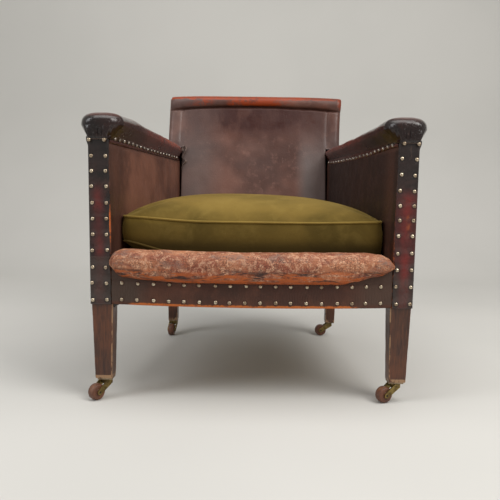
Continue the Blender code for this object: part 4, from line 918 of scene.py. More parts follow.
def build_inner_arm(side, sign):
    ys = [0.0030, 0.0042, 0.006] + spread(0.01, 1.0, 110)
    zs = spread(PANEL_LOW, ARM_TOP, 66)

    def at(v, z):
        return v if v < 0.0062 else mix(0.0075, stile_front(z) - GAP, (v - 0.01) / 0.99)

    def front(v, z):
        y = at(v, z)
        x = arm_panel_x(y, z) + rounding(y - 0.0030, 0.0022)
        return world(sign * side_x(x, y, z), y, z)

    def back(v, z):
        y = at(v, z)
        thick = LEATHER - 2 * GAP if y < POST_DEPTH + 2 * GAP else 0.0125
        return world(sign * side_x(POST_INNER_X + thick, y, z), y, z)

    def wear(co):
        y = co.y + DRAW_TO_WORLD
        rubbed = 0.30 * smooth((0.44 - co.z) / 0.08) * smooth((0.5 - y) / 0.2)
        front_edge = smooth(1.0 - (y - 0.003) / 0.004)
        spot = smooth(1.0 - abs(co.z - 0.375) / 0.06) if side == "left" else 0.25
        return rubbed * (0.5 + rough(co.x, co.y, co.z, 9.0, 4.0)) + front_edge * spot

    # Painted shade along the top under the arm roll, in the rear corner by the back, and near the post at the
    # front.
    def dirt_and_shade(co):
        y = co.y + DRAW_TO_WORLD
        edges = smooth((co.z - 0.528) / 0.010) * 0.95 + smooth((y - 0.57) / 0.05) * 0.8
        return min(edges + 0.5 * smooth((0.10 - y) / 0.06) * smooth((y - 0.012) / 0.02), 0.9)

    # Painted shade: the right inner arm leather is painted dark all over, lighter in its middle; the left one
    # is darker towards the front.
    def ruddy_and_shade(co):
        y = co.y + DRAW_TO_WORLD
        if side == "left":
            return 0.75 * smooth((0.14 - y) / 0.10)
        return 1.15 - 0.15 * smooth(1.0 - abs(y - 0.25) / 0.2)

    verts, faces = slab(ys, zs, front, back)
    name = "inner_arm_leather_" + side
    make_piece(name, verts, faces, arm_leather, replaces=("inner_arm_panel_" + side,), slot="arm_leather",
               sharp=60, paint={"wear": wear, "dirt_and_shade": dirt_and_shade, "ruddy_and_shade": ruddy_and_shade})


def build_outer_arm(side, sign):
    vs = spread(0.0, 1.0, 90)
    zs = spread(COVER_BOTTOM, ARM_TOP, 52)

    def at(v, z):
        return mix(0.0030, stile_rear(z), v)

    def drawn(y, z):
        up = (z - COVER_BOTTOM) / (ARM_TOP - COVER_BOTTOM)
        along = min(y / REAR_FRONT, 1.0)
        hollow = 0.0016 * math.sin(math.pi * up) * math.sin(math.pi * along)
        wave = 0.0007 * rough(4.0, y, z, 11.0, 3.0) + 0.0003 * rough(4.0, y, z, 45.0, 8.0)
        calm_ends = min(1.0, 4 * math.sin(math.pi * up))
        return POST_HALF + side_swell(z) + top_flare(y, z) - hollow + wave * calm_ends

    def front(v, z):
        y = at(v, z)
        return world(sign * side_x(drawn(y, z), y, z), y, z)

    def back(v, z):
        y = at(v, z)
        return world(sign * side_x(POST_HALF - LEATHER, y, z), y, z)

    def wear(co):
        y = co.y + DRAW_TO_WORLD
        low = smooth(1.0 - (co.z - COVER_BOTTOM) / 0.010) * 0.8
        corner = smooth(1.0 - (y - 0.003) / 0.006) * 0.55
        rubbed = 0.16 * smooth(rough(co.x, co.y, co.z, 6.0, 7.0) * 2.0)
        return low + corner + rubbed

    verts, faces = slab(vs, zs, front, back)
    make_piece("outer_arm_leather_" + side, verts, faces, outer_leather,
               replaces=("outer_arm_panel_" + side,), slot="arm_leather", sharp=60,
               paint={"wear": wear, "dirt_and_shade": 0.0})


ARM_NAIL_ROW = 0.5452
# How far the inner row of arm nails runs above that height, as (depth, height) pairs from the front.
ARM_NAIL_DRIFT = {
    "left": ((0.0, 0.0036), (0.08, 0.0040), (0.30, 0.0), (0.62, 0.0)),
    "right": ((0.0, -0.0006), (0.05, -0.0020), (0.12, -0.0050), (0.22, -0.0088), (0.32, -0.0105),
              (0.50, -0.0102), (0.62, -0.0070)),
}


def arm_nail_height(side, y):
    return ARM_NAIL_ROW + table(max(y, 0.0), ARM_NAIL_DRIFT[side])


def arm_cover_x(y, z):
    """Drawn x of the leather under the inner arm nails: the panel's, drawn in to the roll's foot above it."""
    foot = POST_INNER_X - 0.0006
    return mix(arm_panel_x(y, min(z, ARM_TOP)), foot, smooth((z - ARM_TOP + 0.004) / 0.005))


def build_roll_margin(side, sign):
    """The roll cover's lower margin, which lies over the inner arm leather and is held by the nails."""
    us = [0.0040, 0.006, 0.009] + spread(0.013, 0.604, 120)
    vs = spread(0.0, 1.0, 9)

    def height(y, v):
        low = arm_nail_height(side, y) - 0.0048 + 0.0006 * rough(y, 4.0, sign, 60.0)
        return mix(min(low, 0.5385), ARM_NAIL_ROW, v)

    def face(y, v, lift):
        z = height(y, v)
        held = 0.0006 * rough(y, z, sign, 130.0)
        x = arm_cover_x(y, z) - lift - held + rounding(v * 0.02, 0.0011)
        return world(sign * side_x(x, y, z), y, z)

    verts, faces = slab(us, vs, lambda y, v: face(y, v, 0.0016), lambda y, v: face(y, v, 0.0002))
    make_piece("arm_roll_margin_" + side, verts, faces, roll_leather, slot="arm_leather", sharp=60,
               paint={"wear": 0.0, "dirt_and_shade": 0.5, "ruddy_and_shade": 0.5})


def build_torn_strip():
    """A torn, twisted strip of the left roll's leather that hangs over its rear inner end."""
    line = [(-0.2196, 0.5700), (-0.2172, 0.5860), (-0.2096, 0.5790), (-0.2130, 0.5640), (-0.2196, 0.5487),
            (-0.2076, 0.5399), (-0.2170, 0.5280), (-0.2222, 0.5130)]
    count = 80
    verts = []
    for k in range(count):
        place = k / (count - 1) * (len(line) - 1)
        i = min(int(place), len(line) - 2)
        t = place - i
        before, after = line[max(i - 1, 0)], line[min(i + 2, len(line) - 1)]
        x, z = (0.5 * (2 * line[i][a] + (line[i + 1][a] - before[a]) * t
                       + (2 * before[a] - 5 * line[i][a] + 4 * line[i + 1][a] - after[a]) * t * t
                       + (3 * line[i][a] - before[a] - 3 * line[i + 1][a] + after[a]) * t**3) for a in (0, 1))
        turn = 2.4 * math.sin(place * 0.9)
        width = 0.0050 * mix(1.0, 0.40, k / (count - 1))
        wide = Vector((math.cos(turn), math.sin(turn) * 0.6, 0.25)).normalized() * width
        thick = Vector((-math.sin(turn), math.cos(turn), 0.0)) * 0.0005
        middle = world(x, stile_front(z) - back_depth(x, z) - 0.0050, z)
        verts += [middle - wide - thick, middle + wide - thick, middle + wide + thick, middle - wide + thick]
    make_piece("torn_strip_left", verts, closed_faces(4, count), hem_leather, slot="arm_leather",
               paint={"wear": 0.2, "dirt_and_shade": lambda co: 0.9 * rough(co.x, co.y, co.z, 60.0)})


def build_corner_scrap():
    """A dark scrap of the border's leather that sticks out in the corner under it, beside the left leg."""
    outline = [(-0.2905, 0.2062), (-0.2905, 0.1985), (-0.2870, 0.1978), (-0.2835, 0.2010), (-0.2790, 0.2030),
               (-0.2740, 0.2062)]
    verts = [world(x, y, z) for y in (0.0052, 0.0078) for x, z in outline]
    make_piece("border_scrap_left", verts, closed_faces(len(outline), 2), post_leather, slot="border_leather",
               sharp=40, paint={"wear": 0.0, "dirt_and_shade": 0.6})


def build_arm_nails(side, sign):
    """Nails under the arm roll on both faces of the arm, and a row along the bottom of the outside."""
    nails = []
    inward = Vector((-sign, -0.1, -0.12))
    outward = Vector((sign, 0.1, 0.0))

    def add_nail(x, y, z, facing, *size):
        nails.append(dome(world(sign * side_x(x, y, z), y, z), facing, *size))

    y = 0.034
    while y < 0.600:
        wander = 0.0010 * rough(y, sign, 0.0, 300.0)
        z = arm_nail_height(side, y) + wander
        add_nail(arm_cover_x(y, z) - 0.0016, y, z, inward, 0.0045, 0.0033, 16, 4)
        y += 0.0298 + wander
    y = 0.018
    while y < 0.655:
        z = ARM_NAIL_ROW + 0.0008 * rough(y, sign, 3.0, 300.0)
        add_nail(POST_HALF + 0.0006 + top_flare(y, z), y, z, outward, NAIL_RADIUS, NAIL_RISE, 14, 3)
        y += 0.0318
    low = NAIL_HEIGHTS[0]
    y = 0.018
    while y < 0.65:
        add_nail(POST_HALF + side_swell(low) + 0.0002, y, low, outward, NAIL_RADIUS, NAIL_RISE, 14, 3)
        y += 0.0322
    make_piece("arm_nails_" + side, *merge(nails), dull_nail, slot="brass")


# Seat front and cushion


# How far the lip's lower edge rises and its top drops towards its ends, as (share along, distance) pairs.
LIP_LOW = ((-1.0, 0.024), (-0.90, 0.008), (-0.72, 0.0035), (-0.50, 0.0), (0.62, 0.0), (0.72, 0.006),
           (0.86, 0.016), (1.0, 0.026))
LIP_TOP = ((-1.0, 0.014), (-0.96, 0.004), (-0.90, 0.0), (0.78, 0.0), (0.90, 0.005), (0.95, 0.010),
           (1.0, 0.020))


def lip_point(t, turn):
    """Point of the seat front roll; t runs from -1 at its left end to 1 at its right."""
    end = (1.0 - abs(t)) / (0.07 if t < 0 else 0.09)
    full = math.sqrt(1.0 - (1.0 - min(end, 1.0)) ** 2)
    low = BORDER_TOP - 0.0012 + table(t, LIP_LOW)
    top = BORDER_TOP + 0.0665 - table(t, LIP_TOP)
    centre_y = 0.012
    dip = 0.0036 * (1.0 - t * t) + 0.0012 * rough(t, 0.0, 0.0, 9.0, 2.0)
    centre_z = mix(low, top, 0.48)
    c, sn = math.cos(turn), math.sin(turn)
    reach = mix(0.42, 1.0, full) * (centre_y + 0.0205)
    rear = mix(0.62, 1.0, full) * (0.0437 - centre_y)
    up = (top - centre_z) * mix(0.30, 1.0, full) - dip * full
    down = (centre_z - low) * mix(0.15, 1.0, full)
    across = reach if c < 0 else rear
    squareness = 0.62 if sn < 0 else 0.82
    depth = centre_y + across * math.copysign(abs(c) ** squareness, c)
    height = centre_z + (up if sn > 0 else down) * math.copysign(abs(sn) ** 0.80, sn)
    half = side_x(POST_INNER_X, max(depth, 0.0), BORDER_TOP) + 0.0035
    x = t * half
    lumps = 0.0012 * rough(x, depth, height, 22.0, 5.0)
    lumps += 0.0006 * rough(x * 0.5, depth, height * 1.6, 75.0, 8.0)
    crack = 0.0005 * rough(x * 0.25, depth, height * 2.0, 160.0, 1.0) * smooth((0.300 - height) / 0.02)
    depth -= (lumps + crack) * (-c if c < 0 else 0.0)
    height += lumps * max(sn, 0.0)
    return x, depth - bow(x), height


def build_lip():
    ts = [-1.0, -0.998, -0.993, -0.985, -0.975] + spread(-0.96, 0.96, 300) + [0.975, 0.985, 0.993, 0.998, 1.0]
    turns = [math.tau * k / 88 for k in range(88)]
    verts, faces = loft([[world(*lip_point(t, turn)) for turn in turns] for t in ts])

    def wear(co):
        lower = smooth((0.298 - co.z) / 0.032)
        waver = 0.22 * rough(co.x, 0.0, 0.0, 16.0, 4.0) + 0.16 * rough(co.x, 0.0, co.z, 55.0, 3.0)
        bottom = smooth(1.0 - (co.z - BORDER_TOP) / 0.009) * 0.6
        return max(lower * (0.75 + waver) + bottom, 0.0)

    # Painted shadow of the cushion along the rear of the roll.
    def dirt_and_shade(co):
        return smooth((co.y + DRAW_TO_WORLD + bow(co.x) - 0.022) / 0.018) * 0.8

    make_piece("seat_front_roll", verts, faces, lip_hide, replaces=("front_lip",), slot="lip_leather",
               paint={"wear": wear, "dirt_and_shade": dirt_and_shade})


CUSHION_FRONT = 0.050
CUSHION_DEPTH = 0.508
CUSHION_LOW = DECK_TOP + GAP
CUSHION_EDGE = 0.0735
CUSHION_CROWN = 0.0500


def cushion_plan(u, v):
    """Plan position for u across and v from front to rear, both from -1 to 1, with rounded corners."""
    top = max(abs(u), abs(v))
    if top > 0:
        corner = (abs(u / top) ** 22 + abs(v / top) ** 22) ** (-1 / 22)
        pulled = mix(1.0, corner, top**5)
        u, v = u * pulled, v * pulled
    y = CUSHION_FRONT + CUSHION_DEPTH * (v + 1.0) / 2
    clearance = mix(0.0036, 0.0098, (v + 1.0) / 2)
    half = side_x(POST_INNER_X, y, CUSHION_LOW) - clearance
    return u * half, y


def cushion_seam(u, v):
    """Height of the upper seam: it sags a little along the front and stands up at the left front corner."""
    front = smooth((-v - 0.2) / 0.8)
    ends = 0.0085 * smooth((-u - 0.35) / 0.65) + 0.0030 * smooth((u - 0.4) / 0.6)
    return CUSHION_LOW + CUSHION_EDGE + front * (ends - 0.0010 * (1.0 - u * u))


def build_cushion():
    count = 64
    steps = spread(-1.0, 1.0, count)
    ring = [(u, -1.0) for u in steps] + [(1.0, v) for v in steps[1:]]
    ring += [(u, 1.0) for u in reversed(steps[:-1])] + [(-1.0, v) for v in reversed(steps[1:-1])]
    rows = 9
    verts, index = [], {}
    for v in steps:
        for u in steps:
            x, y = cushion_plan(u, v)
            fall = (1.0 - abs(u) ** 4.6) * (1.0 - abs(v) ** 4.0)
            index["top", u, v] = len(verts)
            lean = 1.0 - 0.07 * u
            verts.append(world(x, y, cushion_seam(u, v) + CUSHION_CROWN * lean * max(fall, 0.0) ** 0.62))
    for v in steps:
        for u in steps:
            x, y = cushion_plan(u, v)
            index["base", u, v] = len(verts)
            verts.append(world(x, y, CUSHION_LOW + 0.0004))
    faces = grid_faces(count, count) + [tuple(reversed(f)) for f in grid_faces(count, count, count * count)]
    levels = [[index["base", u, v] for u, v in ring]]

    def low_seam(u, v):
        return 0.0250 * smooth((-u - 0.46) / 0.54) ** 1.4 * smooth((-v - 0.40) / 0.60)

    for v in steps:
        for u in steps:
            inset = min(1.0 - abs(u), 1.0 - abs(v))
            verts[index["base", u, v]] += Vector((0.0, 0.0, low_seam(u, v) * (1.0 - smooth(inset / 0.10))))
    for row in range(1, rows):
        share = row / rows
        level = []
        for u, v in ring:
            x, y = cushion_plan(u, v)
            bulge = 0.005 * math.sin(math.pi * share)
            out = Vector((u if abs(u) == 1.0 else 0.0, v if abs(v) == 1.0 else 0.0, 0.0))
            z = mix(CUSHION_LOW + low_seam(u, v), cushion_seam(u, v), share)
            level.append(len(verts))
            verts.append(world(x, y, z) + out.normalized() * bulge)
        levels.append(level)
    levels.append([index["top", u, v] for u, v in ring])
    for lower, upper in zip(levels, levels[1:]):
        for k in range(len(ring)):
            n = (k + 1) % len(ring)
            faces.append((lower[k], lower[n], upper[n], upper[k]))

    def wear(co):
        return 0.5 * smooth((co.z - 0.385) / 0.04) * (0.6 + rough(co.x, co.y, 0.0, 7.0, 5.0))

    # Painted shade: the lower sides darker, and the front darker just below its upper seam.
    def dirt_and_shade(co):
        on_front = smooth((CUSHION_FRONT + 0.012 - co.y - DRAW_TO_WORLD) / 0.008)
        low = smooth((0.350 - co.z) / 0.040) * 0.85
        return min(low + 0.38 * on_front * smooth((0.378 - co.z) / 0.006), 0.95)

    cushion = make_piece("velvet_cushion", verts, faces, cushion_velvet, replaces=("seat_cushion",),
                         slot="velvet", paint={"wear": wear, "dirt_and_shade": dirt_and_shade})
    inflate(cushion, 0.011, levels[0] + levels[-1])
    settle(cushion)
    top_loop = [cushion.data.vertices[i].co.copy() for i in levels[-1]]
    base_loop = [cushion.data.vertices[i].co.copy() for i in levels[0]]
    crease_seams(cushion, set(levels[-1]), set(levels[0]))
    smoother = cushion.modifiers.new("smoother", "SUBSURF")
    smoother.levels = 1
    smoother.render_levels = 1
    build_piping("cushion_piping_upper", top_loop, -0.0006, {"wear": 0.9, "dirt_and_shade": 0.0})
    # The lower cord is darkened with painted shade.
    build_piping("cushion_piping_lower", base_loop, 0.0028, {"wear": 0.0, "dirt_and_shade": 0.7})


def build_piping(name, loop, lift, paint):
    """A round cord along one of the cushion's seams."""
    centre = sum(loop, Vector()) / len(loop)
    path = []
    for k, point in enumerate(loop):
        even = (loop[k - 1] + point * 2 + loop[(k + 1) % len(loop)]) / 4
        out = Vector((even.x - centre.x, even.y - centre.y, 0.0)).normalized()
        path.append(even + out * 0.0012 + Vector((0.0, 0.0, lift)))
    make_piece(name, *tube(path, 0.0026, 10, closed=True), cushion_velvet, slot="velvet", paint=paint)


def inflate(obj, furthest, seams):
    """Blows the cushion up as cloth between its seams, with no point moved further than a given distance."""
    scene = bpy.context.scene
    start = [v.co.copy() for v in obj.data.vertices]
    held = obj.vertex_groups.new(name="seams")
    held.add(seams, 1.0, "REPLACE")
    cloth = obj.modifiers.new("stuffing", "CLOTH")
    settings = cloth.settings
    settings.quality = 6
    settings.mass = 0.3
    settings.tension_stiffness = 12
    settings.compression_stiffness = 12
    settings.shear_stiffness = 6
    settings.bending_stiffness = 0.6
    settings.vertex_group_mass = "seams"
    settings.use_pressure = True
    settings.uniform_pressure_force = 4.0
    settings.effector_weights.gravity = 0.0
    last_frame = 20
    cloth.point_cache.frame_start = 1
    cloth.point_cache.frame_end = last_frame
    for step in range(1, last_frame + 1):
        scene.frame_set(step)
    done = obj.evaluated_get(bpy.context.evaluated_depsgraph_get())
    shaped = [v.co.copy() for v in done.data.vertices]
    obj.modifiers.remove(cloth)
    scene.frame_set(1)
    for vert, before, after in zip(obj.data.vertices, start, shaped):
        move = after - before
        if move.length > furthest:
            move *= furthest / move.length
        vert.co = before + move
    obj.data.update()


def settle(obj):
    """Keeps the cushion on its deck and between the arms."""
    for vert in obj.data.vertices:
        x, y, z = vert.co.x, vert.co.y + DRAW_TO_WORLD, vert.co.z
        widest = side_x(POST_INNER_X, y, z) - mix(0.0030, 0.0056, smooth((y - 0.06) / 0.14))
        vert.co.x = min(max(x, -widest), widest)
        vert.co.y = min(max(y, CUSHION_FRONT - 0.005), CUSHION_FRONT + CUSHION_DEPTH + 0.004) - DRAW_TO_WORLD
        vert.co.z = max(z, CUSHION_LOW)
    obj.data.update()


def crease_seams(obj, *loops):
    layer = obj.data.attributes.new("crease_edge", "FLOAT", "EDGE")
    for edge in obj.data.edges:
        if any(edge.vertices[0] in loop and edge.vertices[1] in loop for loop in loops):
            layer.data[edge.index].value = 0.7


# Back

BACK_NARROW = POST_INNER_X - TAPER * REAR_FRONT - 0.0014
BACK_EDGE = 0.0045
BACK_INNER_SHARE = 0.82
BACK_WIDE = 0.2652
BACK_LOW = 0.265
STILE_OUTER = TIMBER_HALF + LEAN - TAPER * REAR_FRONT
SHELF = 0.5822
ROLL_WIDTH = 0.040


def back_lean(z):
    """How far the old back has settled towards the right."""
    return 0.0062 * clamp((z - 0.600) / 0.135) ** 1.6


def back_depth(x, z):
    """How far the inner back stands in front of the stiles."""
    upper = z > SHELF - GAP / 2
    half = BACK_WIDE if upper else BACK_NARROW
    share = min(abs(x) / BACK_WIDE, 1.0)
    tall = clamp((z - BACK_LOW) / (BACK_TOP - ROLL_WIDTH - BACK_LOW))
    depth = 0.043 + 0.006 * (1.0 - share * share) * math.sin(math.pi * tall)
    side_width = 0.040
    from_top = BACK_TOP - 0.0040 * (abs(x) / BACK_WIDE) ** 4 - z
    roll_width = ROLL_WIDTH * mix(0.84, 1.08, (abs(x) / BACK_WIDE) ** 2)
    from_side = half - abs(x)
    wobble = 0.0016 * rough(x, z, 0.0, 24.0, 3.0)
    top_roll = 0.0095 * math.sin(math.pi * clamp(from_top / roll_width)) ** 0.75
    crease = -0.0055 * hump(from_top - roll_width - 0.002 + wobble, 0.0028)
    fade = smooth((from_side - 0.004) / 0.03)
    depth += top_roll + crease * mix(0.35, 1.0, fade)
    from_wide = max(BACK_WIDE - abs(x), 0.0)
    side_roll = 0.0032 * math.sin(math.pi * min(from_wide / side_width, 1.0)) ** 0.8
    side_crease = -0.0018 * hump(from_wide - side_width, 0.005)
    raised = smooth((from_top - roll_width * 0.7) / 0.02) * smooth((z - SHELF + 0.006) / 0.030)
    depth += (side_roll + side_crease) * raised
    if upper:
        depth -= rounding(max(from_side, 0.0), 0.013)
    else:
        depth -= rounding(max(from_side, 0.0), BACK_EDGE) * smooth((SHELF - z) / 0.02)
    depth -= rounding(max(from_top, 0.0), 0.011)
    depth += 0.0014 * rough(x, 0.0, z, 9.0, 14.0) + 0.0005 * rough(x, 0.0, z, 40.0, 2.0)
    return depth


def build_back():
    edge = [1.0 - s for s in (0.0, 0.0012, 0.0035, 0.007, 0.012, 0.018, 0.026, 0.036)]
    us = sorted({-s for s in edge} | set(edge) | set(spread(-0.95, 0.95, 150)))
    top = [BACK_TOP - s for s in (0.0, 0.0003, 0.0009, 0.0018, 0.003, 0.0046, 0.0066, 0.009)]
    vs = spread(BACK_LOW, SHELF - 0.0003, 60) + [SHELF]
    vs += spread(SHELF + 0.002, BACK_TOP - 0.0115, 82) + top[::-1]

    def crown(u):
        return 0.0040 * abs(u) ** 4

    def at(u, v):
        half = BACK_WIDE if v > SHELF - GAP / 2 else BACK_NARROW
        z = v - crown(u) * smooth((v - 0.70) / 0.045) if v > 0.70 else v
        inner = BACK_NARROW - BACK_EDGE
        across = min(abs(u) / BACK_INNER_SHARE, 1.0) * inner
        across += max(abs(u) - BACK_INNER_SHARE, 0.0) / (1.0 - BACK_INNER_SHARE) * (half - inner)
        return math.copysign(across, u), z

    def front(u, v):
        x, z = at(u, v)
        return world(x + back_lean(z), stile_front(z) - back_depth(x, z), z)

    def back(u, v):
        x, z = at(u, v)
        rear = -GAP if v < STILE_TOP + GAP else stile_rear(STILE_TOP) - stile_front(STILE_TOP)
        return world(x + back_lean(z), stile_front(z) + rear, z)

    def roll_width(co):
        return ROLL_WIDTH * mix(0.84, 1.08, (abs(co.x) / BACK_WIDE) ** 2)

    def wear(co):
        roll = smooth((roll_width(co) - BACK_TOP + co.z) / 0.006)
        patch = 0.40 + 0.75 * rough(co.x, 0.0, co.z, 15.0, 3.0) + 0.45 * smooth(1.0 - abs(co.x) / 0.13)
        patch *= mix(1.0, 0.45, smooth((co.x - 0.06) / 0.08) * smooth((0.225 - co.x) / 0.02))
        patch *= mix(1.0, 0.50, smooth((-0.13 - co.x) / 0.05))
        edge_rub = 0.30 * smooth(1.0 - (BACK_WIDE - abs(co.x)) / 0.010) * smooth((co.z - 0.62) / 0.05)
        top_edge = 0.8 * smooth((co.z - BACK_TOP + 0.0155 + 0.004 * rough(co.x, 0.0, 0.0, 60.0)) / 0.004)
        corner = 0.7 * smooth((co.x - 0.252) / 0.006) * smooth((co.z - 0.722) / 0.008)
        return max(roll * patch, top_edge, corner, 0.0) + edge_rub

    def ruddy_and_shade(co):
        if BACK_TOP - co.z < roll_width(co):
            return 0.70 * smooth((0.12 - co.x) / 0.10)
        upper = smooth((co.z - 0.575) / 0.10) * smooth((0.232 - abs(co.x)) / 0.03)
        left = mix(0.55, 1.0, smooth((co.x + 0.17) / 0.12))
        right = mix(0.75, 1.0, smooth((0.15 - co.x) / 0.10))
        return min(upper * left * right * 1.25, 1.0)

    # Painted shade in the crease under the top roll; the right side is also darker.
    def dirt_and_shade(co):
        near = BACK_TOP - co.z
        crease = hump(near - roll_width(co) - 0.003, 0.0042)
        return min(0.75 * crease + 0.45 * smooth((co.x - 0.13) / 0.07), 0.95)

    # Painted reflection: grey sheen on the lower back, strongest on the right.
    def bloom_and_sheen(co):
        low = smooth((0.66 - co.z) / 0.14)
        left = 0.60 * smooth((-co.x - 0.06) / 0.12) * mix(0.45, 1.0, low)
        right = 0.95 * smooth((co.x - 0.12) / 0.05) * low
        middle = 0.10 * low * smooth(1.0 - abs(co.x + 0.02) / 0.16)
        return max(left, right, middle)

    verts, faces = slab(us, vs, front, back)
    make_piece("inner_back_leather", verts, faces, back_leather, replaces=("back_pad",), slot="back_leather",
               paint={"wear": wear, "dirt_and_shade": dirt_and_shade, "ruddy_and_shade": ruddy_and_shade, "bloom_and_sheen": bloom_and_sheen})
    for side, sign in SIDES.items():
        build_back_side(side, sign)
    build_outer_back()


def build_back_side(side, sign):
    """Leather drawn round the side of the back above the arm, over the pad's edge and the stile."""
    vs = spread(SHELF + 0.001, BACK_TOP - 0.0095, 46)
    us = spread(0.0, 1.0, 18)

    def at(u, z):
        return mix(stile_front(z) - 0.016, stile_rear(z) + LEATHER + GAP, u)

    def front(u, z):
        y = at(u, z)
        x = STILE_OUTER + 0.0006 + sign * back_lean(z) * 0.5
        x += 0.0004 * rough(0.0, y, z, 40.0, sign) - rounding((1.0 - u) * 0.06, 0.003)
        return world(sign * x, y, z)

    def back(u, z):
        return world(sign * (STILE_OUTER - 0.0022 + sign * back_lean(z) * 0.5), at(u, z), z)

    verts, faces = slab(us, vs, front, back)
    make_piece("back_side_leather_" + side, verts, faces, back_leather, slot="back_leather", sharp=60,
               paint={"wear": lambda co: 0.25 + 0.3 * rough(co.x, co.y, co.z, 20.0), "dirt_and_shade": 0.1})


def build_outer_back():
    half = STILE_OUTER
    us = spread(-1.0, 1.0, 90)
    vs = spread(COVER_BOTTOM, STILE_TOP, 84)

    def front(u, z):
        up = (z - COVER_BOTTOM) / (STILE_TOP - COVER_BOTTOM)
        slack = 0.0022 * math.sin(math.pi * up) * (1.0 - u * u) * (0.6 + rough(u, 0.0, z, 5.0, 3.0))
        wave = 0.0006 * rough(u * half, 0.0, z, 30.0, 6.0) * math.sin(math.pi * up) * (1.0 - u * u)
        return world(u * half, stile_rear(z) + GAP + LEATHER - slack + wave, z)

    def back(u, z):
        return world(u * half, stile_rear(z) + GAP, z)

    def wear(co):
        low = smooth(1.0 - (co.z - COVER_BOTTOM) / 0.012) * 0.7
        side = smooth(1.0 - (half - abs(co.x)) / 0.006) * 0.5
        return low + side + 0.3 * smooth(rough(co.x, co.y, co.z, 5.0, 9.0) * 2.0)

    verts, faces = slab(us, vs, front, back)
    make_piece("outer_back_leather", verts, faces, outer_leather, replaces=("outer_back_cover",),
               slot="back_leather", sharp=60, paint={"wear": wear, "dirt_and_shade": 0.0})
    nails = []
    outward = Vector((0.0, 1.0, -0.2))
    columns = spread(-half + 0.008, half - 0.008, 17)
    heights = spread(COVER_BOTTOM + 0.009, STILE_TOP - 0.002, 17)
    spots = [(x, heights[0]) for x in columns] + [(x, heights[-1] + 0.001) for x in columns]
    spots += [(side * (half - 0.008), z) for z in heights[1:-1] for side in (-1, 1)]
    for x, z in spots:
        place = world(x, stile_rear(min(z, STILE_TOP)) + GAP + LEATHER, z)
        nails.append(dome(place, outward, NAIL_RADIUS, NAIL_RISE, 14, 3))
    make_piece("outer_back_nails", *merge(nails), brass_nail, slot="brass")


# Legs and casters


LEG_TAPER = 0.1595
SIDE_STEPS = [0.035, 0.08, 0.25, 0.5, 0.75, 0.92, 0.965]


def rounded_section(x0, x1, y0, y1, radius, per_corner=4):
    """Points round a rectangle with rounded corners, each with a share of wear that is 1 on the corners."""
    middle_x, middle_y = (x0 + x1) / 2, (y0 + y1) / 2

    def on_corner(x, y, degrees):
        turn = math.radians(degrees)
        x = x - math.copysign(radius, x - middle_x) + radius * math.cos(turn)
        y = y - math.copysign(radius, y - middle_y) + radius * math.sin(turn)
        return x, y

    points = []
    corners = [(x1, y1, 0), (x0, y1, 90), (x0, y0, 180), (x1, y0, 270)]
    for corner, following in zip(corners, corners[1:] + corners[:1]):
        for k in range(per_corner):
            x, y = on_corner(corner[0], corner[1], corner[2] + 90 * k / (per_corner - 1))
            points.append((x, y, 1.0))
        next_x, next_y = on_corner(*following)
        for share in SIDE_STEPS:
            near = min(share, 1.0 - share) * math.hypot(next_x - x, next_y - y)
            wear = smooth(1.0 - near / 0.003) * 0.10
            points.append((mix(x, next_x, share), mix(y, next_y, share), wear))
    return points


def build_leg(name, section_at, heights, replaces):
    """A leg lofted through rounded sections, with small dents and worn arrises."""
    verts, wears = [], []
    for z in heights:
        x0, x1, y0, y1 = section_at(z)
        points = rounded_section(x0, x1, y0, y1, 0.0017)
        middle_x, middle_y = (x0 + x1) / 2, (y0 + y1) / 2
        for x, y, near in points:
            dent = 0.0007 * max(rough(x, y, z, 60.0, 3.0), 0.0) * near + 0.0002 * rough(x, y, z, 30.0, 5.0)
            pull_in = Vector((middle_x - x, middle_y - y, 0.0)).normalized() * dent
            verts.append(world(x, y, z) + pull_in)
            inner_front = 1.0 if abs(x) < abs(middle_x) and y < middle_y else 0.25
            foot = smooth((CASTER_HEIGHT + 0.0075 - z) / 0.0015)
            wears.append(max(near * inner_front, foot))
    faces = closed_faces(len(points), len(heights))
    obj = make_piece(name, verts, faces, mahogany, replaces=replaces, slot="mahogany", sharp=60)
    for key, values in (("wear", wears), ("dirt_and_shade", [smooth((z.z - 0.19) / 0.02) * 0.5 for z in verts])):
        layer = obj.data.attributes.new(key, "FLOAT", "POINT")
        layer.data.foreach_set("value", values)


def build_legs():
    shoulder = 0.2050
    for side, sign in SIDES.items():

        def front_section(z):
            if z > shoulder + 0.0002:
                x0, x1, y0, y1 = POST_INNER_X + 0.003, POST_HALF - 0.003, 0.003, 0.0460
            else:
                slim = 1.0 - (z - CASTER_HEIGHT) / LEG_TAPER
                x0, x1 = POST_INNER_X + 0.0035 * slim, POST_HALF + 0.0020 - 0.0050 * slim
                y0, y1 = 0.0005 + 0.004 * slim, 0.0460 - 0.004 * slim
            xs = sorted((sign * side_x(x0, 0.02, z), sign * side_x(x1, 0.02, z)))
            return xs[0], xs[1], y0, y1

        heights = [CASTER_HEIGHT, CASTER_HEIGHT + 0.003, CASTER_HEIGHT + 0.0062]
        heights += spread(CASTER_HEIGHT + 0.008, shoulder, 34)
        heights += [shoulder + 0.0004] + spread(0.23, ARM_TOP, 4)
        build_leg("front_leg_timber_" + side, front_section, heights, ("front_leg_" + side,))

        def rear_section(z):
            slim = max(0.0, 1.0 - (z - CASTER_HEIGHT) / LEG_TAPER)
            outer = TIMBER_HALF - 0.003 * slim
            inner = TIMBER_HALF - 0.031
            xs = sorted(sign * (x + flare(z) - TAPER * REAR_FRONT) for x in (inner, outer))
            return xs[0], xs[1], stile_front(z), stile_rear(z) - 0.004 * slim

        heights = spread(CASTER_HEIGHT, 0.2072, 26) + spread(0.24, STILE_TOP, 12)
        build_leg("rear_leg_timber_" + side, rear_section, heights, ("rear_leg_" + side,))


